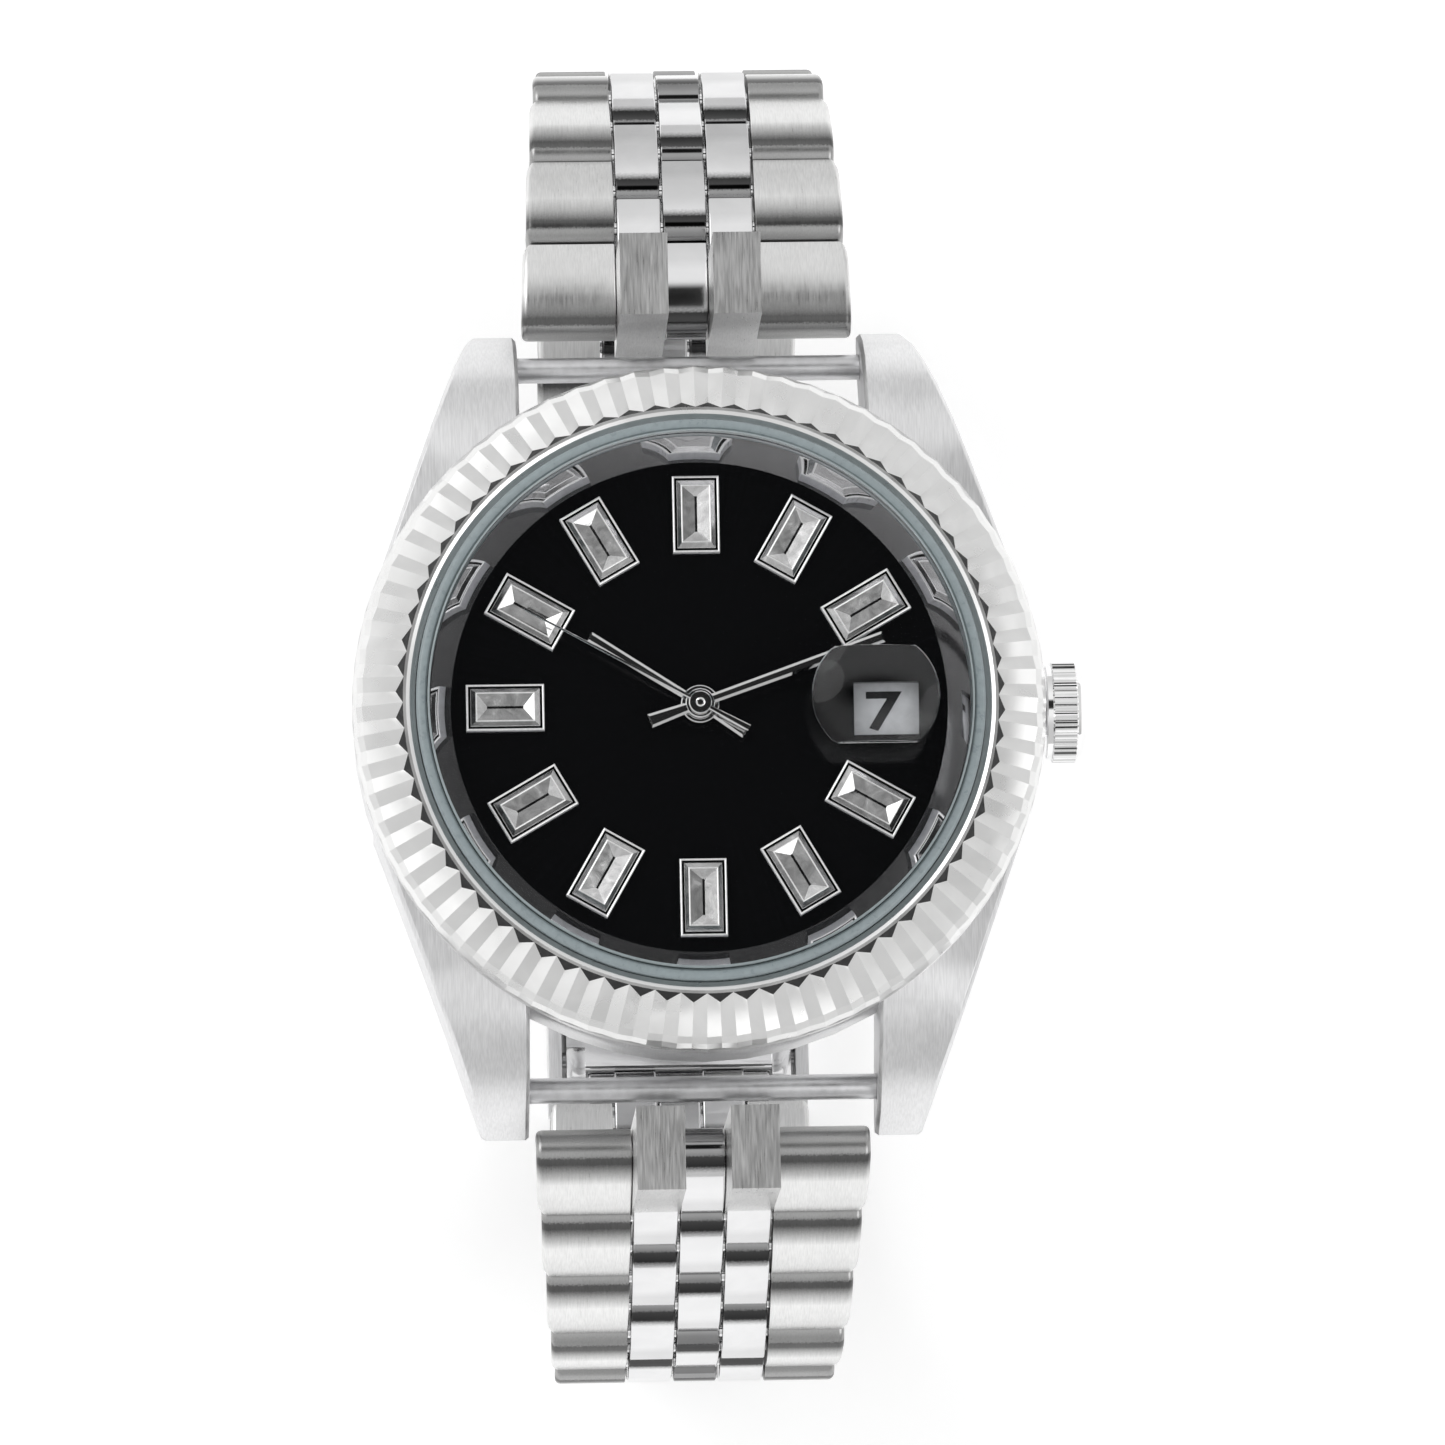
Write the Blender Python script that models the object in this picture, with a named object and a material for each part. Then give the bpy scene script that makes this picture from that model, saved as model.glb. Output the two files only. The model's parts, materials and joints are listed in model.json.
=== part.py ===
"""Automatic wristwatch on a closed five-column bracelet, standing on its clasp with the dial up.

Lengths in the code are in millimetres and become metres when a mesh is stored. +Z points out of the
dial, +Y to 12 o'clock and +X to 3 o'clock. World z = 0 is the flat outer face of the clasp cover.
Heights written for the head are measured from the dial's top face, at world height DIAL_HEIGHT.
"""

from math import cos, pi, radians, sin

import bmesh
import bpy
from mathutils import Matrix, Vector

MM = 0.001

# Head
DIAL_HEIGHT = 45.2
BEZEL_RADIUS = 20.0
BEZEL_INNER_RADIUS = 16.4
FLUTES = 72
FLUTE_DEPTH = 0.24
CASE_RADIUS = 19.95
CASE_TOP = -0.8
CASE_BOTTOM = -7.0
MOVEMENT_BORE = 14.0
CRYSTAL_RADIUS = 15.7
CRYSTAL_BOTTOM = 1.92
CRYSTAL_TOP = 3.1
DIAL_RADIUS = 14.6
MARKER_CENTRE = 11.2
MARKER_SIZE = (2.7, 4.5)
DATE_WINDOW = (10.6, 2.6, 2.1)
MAGNIFIER_X = 10.0
LUG_GAP = 20.1
LUG_TIP = 23.9
SPRING_BAR = (21.3, -6.6)
STEM_HEIGHT = -3.6
CROWN_RADIUS = 2.95
CROWN_TEETH = 40

# Wheel train: centre, pitch radius. The third wheel meshes with the centre wheel and the fourth pinion.
BARREL = (-4.893, 2.825)
THIRD = (1.815, -3.144)
ESCAPE = (1.775, 3.074)
PALLET = (4.2, 4.6)
BALANCE = (7.0, 5.9)

# Bracelet: hinge to hinge, half thickness, columns across, slope of each row below the horizontal.
PITCH = 5.4
LINK_RADIUS = 1.3
LINK_CROWN = 0.12
LINK_CLEARANCE = 0.14
LINK_TURNS = 3
CENTRE_HALF = 1.27
MID_INNER = 1.42
MID_OUTER = 4.0
OUTER_INNER = 4.15
ROW_HALF_WIDTHS = (9.7, 9.35, 9.02, 8.68, 8.35, 8.05, 8.0, 8.0, 8.0, 8.0, 8.0, 8.0)
END_PIVOT = (24.7, -8.0)
LAST_BARREL_12 = 6.6
LAST_BARREL_6 = 5.6
SLOPES_12 = (0.9, 23.1, 39.9, 70.3, 91.0, 109.3, 124.5, 137.3, 149.0, 160.8, 173.1)
SLOPES_6 = (54.2, 56.0, 59.8, 78.0, 99.3, 120.4, 141.1, 161.4, 178.8)
PIN_RADIUS = 0.45
PIN_BORE = 0.54

# Clasp, in world millimetres
CLASP_HALF = 8.0
CLASP_WALL = 0.8
COVER_THICKNESS = 1.0
COVER_HINGE = (-14.2, 1.9)
FOLD_HINGE = (13.6, 2.6)
BLADE_HALF = 6.9

FINISHES = {
    "polished": ((0.80, 0.80, 0.81), 1.0, 0.10, 1.0),
    "brushed": ((0.66, 0.66, 0.67), 1.0, 0.32, 1.0),
    "satin": ((0.58, 0.58, 0.59), 1.0, 0.40, 1.0),
    "black": ((0.008, 0.008, 0.009), 0.0, 0.12, 1.0),
    "disc": ((0.78, 0.79, 0.80), 0.0, 0.45, 1.0),
    "seal": ((0.50, 0.56, 0.60), 0.0, 0.35, 1.0),
    "rubber": ((0.02, 0.02, 0.02), 0.0, 0.6, 1.0),
    "brass": ((0.72, 0.55, 0.26), 1.0, 0.28, 1.0),
    "glass": ((0.95, 0.97, 0.98), 0.0, 0.02, 0.25),
}


def clear_scene():
    for item in list(bpy.data.objects):
        bpy.data.objects.remove(item, do_unlink=True)


def new_collection(name):
    made = bpy.data.collections.new(name)
    bpy.context.scene.collection.children.link(made)
    return made


def add_object(name, bm, collection=None):
    """Stores a millimetre bmesh as a mesh object in metres."""
    bmesh.ops.recalc_face_normals(bm, faces=bm.faces)
    bmesh.ops.scale(bm, vec=(MM, MM, MM), verts=bm.verts)
    mesh = bpy.data.meshes.new(name)
    bm.to_mesh(mesh)
    bm.free()
    item = bpy.data.objects.new(name, mesh)
    (collection or HELPERS).objects.link(item)
    return item


def prism(name, outline, low, high, axis="X"):
    """Extrudes a closed outline. Along X the outline is (y, z), along Z it is (x, y)."""
    bm = bmesh.new()
    if axis == "X":
        points = [(low, a, b) for a, b in outline]
        shift = (high - low, 0, 0)
    else:
        points = [(a, b, low) for a, b in outline]
        shift = (0, 0, high - low)
    base = bm.faces.new([bm.verts.new(point) for point in points])
    grown = bmesh.ops.extrude_face_region(bm, geom=[base], use_keep_orig=True)
    moved = [item for item in grown["geom"] if isinstance(item, bmesh.types.BMVert)]
    bmesh.ops.translate(bm, vec=shift, verts=moved)
    return add_object(name, bm)


def box(name, low, high):
    corners = [(low[0], low[1]), (high[0], low[1]), (high[0], high[1]), (low[0], high[1])]
    return prism(name, corners, low[2], high[2], axis="Z")


def circle(centre, radius, count, start=0.0):
    steps = [start + 2 * pi * index / count for index in range(count)]
    return [(centre[0] + radius * cos(turn), centre[1] + radius * sin(turn)) for turn in steps]


def slot(first, second, radius, count):
    """Outline around two points, with a rounded end at each."""
    line = Vector(second) - Vector(first)
    along = line.normalized()
    across = Vector((-along.y, along.x))
    outline = []
    for centre, sign in ((Vector(first), -1), (Vector(second), 1)):
        for index in range(count + 1):
            turn = pi * index / count
            outline.append(tuple(centre + radius * sign * (cos(turn) * -across + sin(turn) * along)))
    return outline


def link_outline(is_mid):
    """Side of a link, as (y, z) from its start, which is round. The end wraps the start of the next link.

    An outer or centre link turns at its start, so its end is hollow. A mid link turns at PITCH / 2, so the
    lower half of its end is round there.
    """
    outline = []
    for index in range(LINK_TURNS + 1):
        turn = pi * index / LINK_TURNS
        outline.append((-LINK_RADIUS * sin(turn), -LINK_RADIUS * cos(turn)))
    outline.append((2.0, LINK_RADIUS + LINK_CROWN))
    hollow = LINK_RADIUS + LINK_CLEARANCE
    for turn in (57, 20) if is_mid else (57, 20, -17, -50):
        outline.append((PITCH - hollow * cos(radians(turn)), hollow * sin(radians(turn))))
    if not is_mid:
        return outline + [(3.9, -LINK_RADIUS)]
    for turn in (13, 60, 90):
        outline.append((PITCH / 2 + LINK_RADIUS * cos(radians(turn)), -LINK_RADIUS * sin(radians(turn))))
    return outline


def lathe(name, profile, steps=48, centre=(0.0, 0.0)):
    """Turns a closed (radius, z) profile round a vertical axis through centre."""
    bm = bmesh.new()
    points = [bm.verts.new((radius, 0, z)) for radius, z in profile]
    edges = [bm.edges.new((a, b)) for a, b in zip(points, points[1:] + points[:1])]
    edges = [edge for edge in edges if max(v.co.x for v in edge.verts) > 1e-6]
    geom = points + edges
    turn = {"cent": (0, 0, 0), "axis": (0, 0, 1), "angle": 2 * pi, "steps": steps, "use_merge": True}
    bmesh.ops.spin(bm, geom=geom, **turn)
    bmesh.ops.remove_doubles(bm, verts=bm.verts, dist=1e-4)
    loose = [edge for edge in bm.edges if not edge.link_faces]
    bmesh.ops.delete(bm, geom=loose, context="EDGES")
    bmesh.ops.translate(bm, vec=(centre[0], centre[1], 0), verts=bm.verts)
    return add_object(name, bm)


def rod_x(name, centre, radius, low, high, count=12):
    return prism(name, circle(centre, radius, count, pi / count), low, high)


def rod_z(name, centre, radius, low, high, count=24):
    return prism(name, circle(centre, radius, count), low, high, axis="Z")


def combine(base, others, operation):
    """Applies an exact Boolean of each other solid to base, and removes the others."""
    for other in others:
        step = base.modifiers.new("step", "BOOLEAN")
        step.solver = "EXACT"
        step.operation = operation
        step.object = other
        bpy.context.view_layer.update()
        graph = bpy.context.evaluated_depsgraph_get()
        result = bpy.data.meshes.new_from_object(base.evaluated_get(graph))
        base.modifiers.clear()
        base.data = result
        bpy.data.objects.remove(other, do_unlink=True)
    return base


def fuse(base, *others):
    return combine(base, others, "UNION")


def cut(base, *others):
    return combine(base, others, "DIFFERENCE")


def keep_common(base, *others):
    return combine(base, others, "INTERSECT")


def chamfer(item, width):
    """Breaks the sharp edges of a solid with one flat."""
    bm = bmesh.new()
    bm.from_mesh(item.data)
    sharp = [edge for edge in bm.edges if edge.is_manifold and edge.calc_face_angle() > 0.6]
    bmesh.ops.bevel(bm, geom=sharp, offset=width * MM, segments=1, affect="EDGES", clamp_overlap=True)
    bm.to_mesh(item.data)
    bm.free()
    return item


def finish(item, name, look, origin=(0.0, 0.0, 0.0), sharp=32, lift=DIAL_HEIGHT):
    """Names a solid, lifts it to world height, puts its origin on a point and gives it a material."""
    item.name = name
    item.data.name = name
    HELPERS.objects.unlink(item)
    PARTS.objects.link(item)
    item.data.transform(Matrix.Translation((0, 0, lift * MM)))
    place = Vector(origin) * MM + Vector((0, 0, lift * MM))
    item.data.transform(Matrix.Translation(-place))
    item.location = place
    colour, metallic, roughness, alpha = FINISHES[look]
    material = bpy.data.materials.new(name)
    material.use_nodes = True
    shader = material.node_tree.nodes["Principled BSDF"]
    shader.inputs["Base Color"].default_value = (*colour, 1.0)
    shader.inputs["Metallic"].default_value = metallic
    shader.inputs["Roughness"].default_value = roughness
    shader.inputs["Alpha"].default_value = alpha
    item.data.materials.clear()
    item.data.materials.append(material)
    item.data.shade_smooth()
    item.data.set_sharp_from_angle(angle=radians(sharp))
    return item


def along_x(item, x, y=0.0, z=0.0):
    """Lays a piece turned about Z down along +X and moves its zero point."""
    turn = Matrix.Translation((x * MM, y * MM, z * MM)) @ Matrix.Rotation(pi / 2, 4, "Y")
    item.data.transform(turn)
    return item


# ---------------------------------------------------------------- case, bezel and crystal


def lugs():
    """All four lugs: a plan outline crossed with a side outline, cut away inside and between them."""
    reach = (20.0 - 0.335 * LUG_TIP) / 0.942
    plan = [(reach, LUG_TIP), (18.84, 6.7), (18.84, -6.7), (reach, -LUG_TIP)]
    plan += [(-x, y) for x, y in reversed(plan)]
    top = [(15.0, -0.86), (17.2, -1.15), (19.4, -2.15), (21.3, -3.9), (22.8, -6.2), (23.7, -8.5)]
    low = [(23.9, -9.2), (23.2, -9.8), (21.2, -9.3), (18.0, -7.6), (15.0, -6.9)]
    side = top + low
    side += [(-y, z) for y, z in reversed(side)]
    body = prism("lugs", plan, -10.5, 0.0, axis="Z")
    keep_common(body, prism("side", side, -22, 22))
    half = LUG_GAP / 2
    cut(body, box("upper", (-half, 12.0, -12), (half, 30, 2)))
    cut(body, box("lower", (-half, -30.0, -12), (half, -12, 2)))
    cut(body, rod_z("inside", (0, 0), 17.0, -12, 2, 64))
    return chamfer(body, 0.22)


def mid_case():
    """Ring-shaped case body with four lugs, bored for the movement, case back, spring bars and crown."""
    profile = [(14.68, -0.02), (17.9, -0.02), (17.9, CASE_TOP), (19.6, CASE_TOP), (CASE_RADIUS, -1.7)]
    profile += [(CASE_RADIUS, -5.2), (19.1, CASE_BOTTOM), (16.15, CASE_BOTTOM), (16.15, -6.6)]
    profile += [(15.5, -6.6), (15.5, CASE_BOTTOM), (15.0, CASE_BOTTOM), (15.0, -5.6)]
    profile += [(MOVEMENT_BORE, -5.6), (MOVEMENT_BORE, -0.45), (14.68, -0.45)]
    body = fuse(lathe("case", profile, 48), lugs())
    for side in (1, -1):
        centre = (side * SPRING_BAR[0], SPRING_BAR[1])
        cut(body, rod_x("bar", centre, 0.8, -11.3, 11.3, 16))
    cut(body, rod_x("tube", (0, STEM_HEIGHT), 1.3, 12, 24, 20))
    return finish(body, "mid_case", "brushed")


def bezel():
    """Conical ring with V-shaped flutes from the inner rim to the edge."""
    ridge = [(BEZEL_INNER_RADIUS, 0.02), (BEZEL_INNER_RADIUS, 2.35), (17.1, 2.5), (18.3, 1.98), (19.4, 1.1)]
    ridge += [(BEZEL_RADIUS, 0.25), (BEZEL_RADIUS, -0.77), (17.95, -0.77), (17.95, 0.02)]
    drop = [0, 0, FLUTE_DEPTH, FLUTE_DEPTH * 1.3, FLUTE_DEPTH * 1.3, FLUTE_DEPTH * 1.2, 0, 0, 0]
    bm = bmesh.new()
    rings = []
    for step in range(2 * FLUTES):
        turn = pi * step / FLUTES
        depth = drop if step % 2 else [0] * len(drop)
        ring = []
        for (radius, z), down in zip(ridge, depth):
            reach = radius - 0.5 * down
            ring.append(bm.verts.new((reach * cos(turn), reach * sin(turn), z - 0.87 * down)))
        rings.append(ring)
    count = len(ridge)
    for first, second in zip(rings, rings[1:] + rings[:1]):
        for index in range(count):
            after = (index + 1) % count
            bm.faces.new((first[index], first[after], second[after], second[index]))
    return finish(add_object("bezel", bm), "bezel", "polished", sharp=12)


def front():
    """Crystal, its gasket, the sloped ring round the dial and the date magnifier."""
    edge = CRYSTAL_RADIUS
    crystal = [(0, CRYSTAL_BOTTOM), (edge, CRYSTAL_BOTTOM), (edge, 2.8), (15.4, CRYSTAL_TOP), (0, CRYSTAL_TOP)]
    finish(lathe("glass", crystal, 48), "crystal", "glass")
    gasket = [(15.75, 1.05), (16.35, 1.05), (16.35, 2.6), (16.15, 2.75), (15.75, 2.75)]
    finish(lathe("seal", gasket, 48), "crystal_gasket", "seal")
    rehaut = [(14.1, 0.03), (16.3, 0.03), (16.3, 1.0), (15.7, 1.0), (15.7, 1.88), (15.55, 1.88)]
    finish(lathe("slope", rehaut, 48), "rehaut_ring", "black", sharp=40)
    base = CRYSTAL_TOP + 0.02
    dome = [(0, base), (3.68, base), (3.68, base + 0.3), (3.1, base + 0.56), (2.3, base + 0.76)]
    dome += [(1.2, base + 0.91), (0, base + 0.96)]
    lens = lathe("lens", dome, 40, (MAGNIFIER_X, 0))
    keep_common(lens, box("flats", (5, -2.83, 2), (15, 2.83, 6)))
    finish(lens, "date_magnifier", "glass", (MAGNIFIER_X, 0, base))


def case_back():
    """Screwed back with a raised rim and wrench notches, and its sealing ring."""
    profile = [(0, -7.05), (13.4, -7.05), (13.4, -5.75), (14.9, -5.75), (14.9, -7.03), (16.6, -7.03)]
    profile += [(16.6, -7.6), (15.6, -8.3), (13.2, -8.3), (12.8, -8.6), (0, -8.6)]
    back = lathe("back", profile, 48)
    for index in range(6):
        turn = index * pi / 3
        cut(back, rod_z("notch", (15.5 * cos(turn), 15.5 * sin(turn)), 0.9, -9, -7.7, 8))
    finish(back, "caseback", "brushed")
    ring = [(15.55, -6.65), (16.1, -6.65), (16.1, -6.99), (15.55, -6.99)]
    finish(lathe("ring", ring, 48), "caseback_gasket", "rubber")


# ---------------------------------------------------------------- dial, hands and date


def dial():
    """Disc with a date window, a centre hole and eleven faceted hour markers."""
    profile = [(0, -0.4), (DIAL_RADIUS, -0.4), (DIAL_RADIUS, 0), (0, 0)]
    body = lathe("dial", profile, 48)
    cut(body, rod_z("hole", (0, 0), 1.0, -1, 1, 20))
    wide, tall = MARKER_SIZE[0] / 2, MARKER_SIZE[1] / 2
    section = [(-wide, -0.2), (wide, -0.2), (wide, 0.3), (0, 0.5), (-wide, 0.3)]
    for hour in range(12):
        if hour == 3:
            continue
        bm = bmesh.new()
        ends = []
        for y, top in ((-tall, 0.3), (-tall + 1.0, 0.5), (tall - 1.0, 0.5), (tall, 0.3)):
            ends.append([bm.verts.new((x, MARKER_CENTRE + y, min(z, top))) for x, z in section])
        for first, second in zip(ends, ends[1:]):
            for index in range(5):
                after = (index + 1) % 5
                bm.faces.new((first[index], first[after], second[after], second[index]))
        bm.faces.new(ends[0])
        bm.faces.new(ends[3])
        bmesh.ops.rotate(bm, cent=(0, 0, 0), matrix=Matrix.Rotation(-hour * pi / 6, 3, "Z"), verts=bm.verts)
        fuse(body, add_object("marker", bm))
    centre, wide, tall = DATE_WINDOW
    cut(body, box("window", (centre - wide / 2, -tall / 2, -1), (centre + wide / 2, tall / 2, 1)))
    finish(body, "dial", "black", sharp=15)


def hand(name, length, tail, widths, low, high, hub, bore, look="polished"):
    """Straight pointed hand along +Y: widths are at the tail, the hub and near the tip."""
    outline = [(-widths[0] / 2, -tail), (widths[0] / 2, -tail), (widths[1] / 2, 0)]
    outline += [(widths[2] / 2, length - 0.5), (0, length), (-widths[2] / 2, length - 0.5), (-widths[1] / 2, 0)]
    blade = prism(name, outline, low, high, axis="Z")
    fuse(blade, rod_z("hub", (0, 0), hub, low - 0.02, high + 0.02, 24))
    if bore:
        cut(blade, rod_z("bore", (0, 0), bore, low - 1, high + 1, 16))
    return blade


def turned(item, degrees):
    """Turns a hand clockwise from 12 o'clock."""
    item.data.transform(Matrix.Rotation(-radians(degrees), 4, "Z"))
    return item


def hands():
    hour = hand("hour", 7.5, 3.1, (0.8, 0.4, 0.6), 0.64, 0.8, 1.1, 0)
    fuse(hour, rod_z("pipe", (0, 0), 0.9, -0.9, 0.7, 24))
    cut(hour, rod_z("bore", (0, 0), 0.56, -2, 2, 20))
    finish(turned(hour, 302.6), "hour_hand", "polished")
    minute = hand("minute", 11.3, 3.1, (0.85, 0.55, 0.67), 1.0, 1.14, 0.85, 0.525)
    finish(turned(minute, 70.6), "minute_hand", "polished")
    second = hand("second", 11.5, 3.2, (0.4, 0.24, 0.12), 1.3, 1.4, 0.67, 0.175)
    finish(turned(second, 299.0), "seconds_hand", "polished")


def date_disc():
    profile = [(8.9, -0.95), (12.6, -0.95), (12.6, -0.65), (8.9, -0.65)]
    finish(lathe("disc", profile, 48), "date_disc", "disc")


# ---------------------------------------------------------------- movement


def fixed_movement():
    """Holder ring, mainplate, train bridge with pillars, balance cock and rotor bearing."""
    ring = lathe("ring", [(12.95, -5.3), (13.95, -5.3), (13.95, -0.5), (12.95, -0.5)], 40)
    cut(ring, rod_x("stem", (0, STEM_HEIGHT), 0.65, 10, 16))
    finish(ring, "movement_holder", "satin")
    plate = lathe("plate", [(0.6, -2.35), (12.85, -2.35), (12.85, -1.15), (0.6, -1.15)], 40)
    finish(plate, "mainplate", "brass")
    bridge = lathe("bridge", [(0.25, -5.65), (12.6, -5.65), (12.6, -5.2), (0.25, -5.2)], 40)
    for x, y in ((-8.0, -7.5), (-2.0, 11.0), (9.0, -6.0)):
        fuse(bridge, rod_z("pillar", (x, y), 0.8, -5.4, -2.37, 10))
    cut(bridge, rod_z("opening", BALANCE, 4.0, -7, -3, 32))
    cut(bridge, prism("slit", [(9.0, 5.0), (8.5, 12.0), (0.6, 13.0), (4.6, 4.6)], -7, -3, axis="Z"))
    finish(bridge, "train_bridge", "satin")
    cock = prism("cock", slot(BALANCE, (2.9, 10.4), 0.95, 8), -5.65, -5.2, axis="Z")
    fuse(cock, rod_z("foot", (2.9, 10.4), 0.8, -5.4, -2.37, 10))
    finish(cock, "balance_cock", "satin")
    bearing = [(0, -6.5), (0.8, -6.5), (0.8, -5.9), (2.0, -5.9), (2.0, -5.67), (0, -5.67)]
    finish(lathe("bearing", bearing, 32), "rotor_bearing", "polished")


def wheel(name, centre, disc, pinion, arbor, bore=0.0):
    """Toothless wheel: disc, pinion and arbor given as (radius, low, high)."""
    body = rod_z("disc", centre, disc[0], disc[1], disc[2], 32)
    fuse(body, rod_z("pinion", centre, pinion[0], pinion[1], pinion[2], 12))
    fuse(body, rod_z("arbor", centre, arbor[0], arbor[1], arbor[2], 12))
    if bore:
        cut(body, rod_z("bore", centre, bore, arbor[1] - 1, arbor[2] + 1, 12))
    return finish(body, name, "brass", (centre[0], centre[1], disc[1]))


def moving_movement():
    drum = rod_z("drum", BARREL, 5.0, -4.3, -3.0, 40)
    fuse(drum, rod_z("arbor", BARREL, 0.6, -5.15, -2.45, 16))
    finish(drum, "barrel", "brass", (*BARREL, -3.6))
    wheel("centre_wheel", (0, 0), (3.2, -2.85, -2.6), (0.61, -4.3, -2.7), (0.5, -4.3, 1.14), 0.21)
    wheel("third_wheel", THIRD, (3.16, -5.0, -4.78), (0.39, -2.9, -2.5), (0.2, -5.12, -2.5))
    wheel("fourth_wheel", (0, 0), (3.18, -4.62, -4.42), (0.42, -5.05, -4.5), (0.15, -5.12, 1.42))
    escape = []
    for tooth in range(15):
        for share, radius in ((0.0, 2.0), (0.3, 1.98), (0.55, 1.62)):
            turn = 2 * pi * (tooth + share) / 15
            escape.append((ESCAPE[0] + radius * cos(turn), ESCAPE[1] + radius * sin(turn)))
    body = prism("escape", escape, -5.0, -4.8, axis="Z")
    fuse(body, rod_z("pinion", ESCAPE, 0.32, -4.9, -4.38, 10), rod_z("arbor", ESCAPE, 0.12, -5.12, -2.45, 8))
    finish(body, "escape_wheel", "brass", (*ESCAPE, -4.9))
    lever = prism("lever", slot(PALLET, (6.0, 5.42), 0.22, 4), -5.0, -4.8, axis="Z")
    fuse(lever, rod_z("arbor", PALLET, 0.15, -5.12, -2.45, 8))
    for reach in ((4.16, 2.68), (2.75, 5.35)):
        fuse(lever, prism("arm", slot(PALLET, reach, 0.2, 4), -5.0, -4.8, axis="Z"))
    finish(lever, "pallet_fork", "polished", (*PALLET, -4.9))
    rim = lathe("rim", [(2.3, -4.5), (2.75, -4.5), (2.75, -4.1), (2.3, -4.1)], 24, BALANCE)
    spoke = box("spoke", (BALANCE[0] - 2.5, BALANCE[1] - 0.2, -4.4), (BALANCE[0] + 2.5, BALANCE[1] + 0.2, -4.2))
    fuse(rim, spoke, rod_z("staff", BALANCE, 0.18, -5.15, -2.45, 8), rod_z("roller", BALANCE, 0.5, -5.0, -4.8, 10))
    finish(rim, "balance_wheel", "brass", (*BALANCE, -4.3))
    profile = [(0.86, -6.4), (2.2, -6.4), (2.2, -6.22), (10.3, -6.22), (10.3, -6.8), (12.3, -6.8)]
    profile += [(12.3, -5.9), (10.3, -5.9), (10.3, -6.02), (0.86, -6.02)]
    rotor = lathe("rotor", profile, 36)
    cut(rotor, box("half", (-13, 2.3, -8), (13, 14, -5)))
    for side in (-1, 1):
        corner = [(side * 2.3, 2.4), (side * 13, 2.4), (side * 13, -1.0), (side * 2.3, -0.2)]
        cut(rotor, prism("corner", corner, -8, -5, axis="Z"))
    finish(rotor, "rotor", "satin", (0, 0, -6.1))


def crown_parts():
    """Crown, winding stem, the tube in the case and the lever that rides in the stem's groove."""
    knurl = []
    for step in range(2 * CROWN_TEETH):
        radius = CROWN_RADIUS - (0.16 if step % 2 else 0.0)
        knurl.append((radius * cos(pi * step / CROWN_TEETH), radius * sin(pi * step / CROWN_TEETH)))
    body = prism("crown", knurl, 0.35, 1.85, axis="Z")
    profile = [(0, 0.0), (2.65, 0.0), (2.75, 0.4), (2.75, 1.8), (2.6, 1.95), (2.2, 2.25), (1.2, 2.42), (0, 2.46)]
    fuse(body, lathe("cap", profile, 24))
    cut(body, rod_z("well", (0, 0), 1.42, -1, 1.2, 24), rod_z("socket", (0, 0), 0.475, -1, 1.75, 16))
    finish(along_x(body, 20.12, 0, STEM_HEIGHT), "crown", "polished", (20.12, 0, STEM_HEIGHT), sharp=25)
    stem = [(0, 6.0), (0.45, 6.0), (0.45, 9.15), (0.28, 9.15), (0.28, 9.65), (0.45, 9.65), (0.45, 21.8), (0, 21.8)]
    finish(along_x(lathe("stem", stem, 16), 0, 0, STEM_HEIGHT), "winding_stem", "satin", (9.4, 0, STEM_HEIGHT))
    tube = [(0.56, 14.1), (1.27, 14.1), (1.27, 21.25), (0.56, 21.25)]
    finish(along_x(lathe("tube", tube, 24), 0, 0, STEM_HEIGHT), "crown_tube", "satin")
    lever = prism("lever", slot((9.4, 0), (8.6, -3.2), 0.5, 6), -2.95, -2.65, axis="Z")
    fuse(lever, rod_z("post", (9.4, 0), 0.14, -3.25, -2.8, 8))
    finish(lever, "setting_lever", "satin", (9.4, 0, -2.8))


# ---------------------------------------------------------------- bracelet


def end_link(side, label):
    """Solid link between two lugs, hollowed to the case, with two bored knuckles at its outer end."""
    arc = [(17.0, -1.3), (20.2, -1.35), (21.3, -1.9), (22.3, -3.2), (23.15, -5.0), (23.8, -6.75)]
    outline = arc + [(23.8, -9.1), (22.2, -9.3), (17.0, -8.8)]
    body = prism("end", outline, -9.85, 9.85)
    cut(body, rod_z("case", (0, 0), 20.09, -12, 2, 72))
    cut(body, rod_x("recess", END_PIVOT, 1.46, -12, 12, 20))
    for low, high in ((MID_INNER, MID_OUTER), (-MID_OUTER, -MID_INNER)):
        fuse(body, prism("knuckle", slot((22.2, -7.1), END_PIVOT, LINK_RADIUS, 6), low, high))
    cut(body, rod_x("bar", SPRING_BAR, 0.8, -12, 12, 16))
    cut(body, rod_x("pin", END_PIVOT, PIN_BORE, -6, 6))
    if side < 0:
        body.data.transform(Matrix.Rotation(pi, 4, "Z"))
    finish(body, "end_link_" + label, "brushed")
    bar = rod_x("bar", (side * SPRING_BAR[0], SPRING_BAR[1]), 0.74, -11.1, 11.1, 16)
    finish(bar, "spring_bar_" + label, "satin")


def outer_link(sign, start, end, outline):
    """Outer column whose outside narrows from start to end."""
    body = prism("outer", outline, OUTER_INNER, 9.0)
    first, last = -LINK_RADIUS, PITCH / 2 + LINK_RADIUS
    for vertex in body.data.vertices:
        if vertex.co.x > 8.0 * MM:
            share = (vertex.co.y / MM - first) / (last - first)
            vertex.co.x = (start + (end - start) * share) * MM
        vertex.co.x *= sign
    if sign < 0:
        body.data.flip_normals()
    return body


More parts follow.
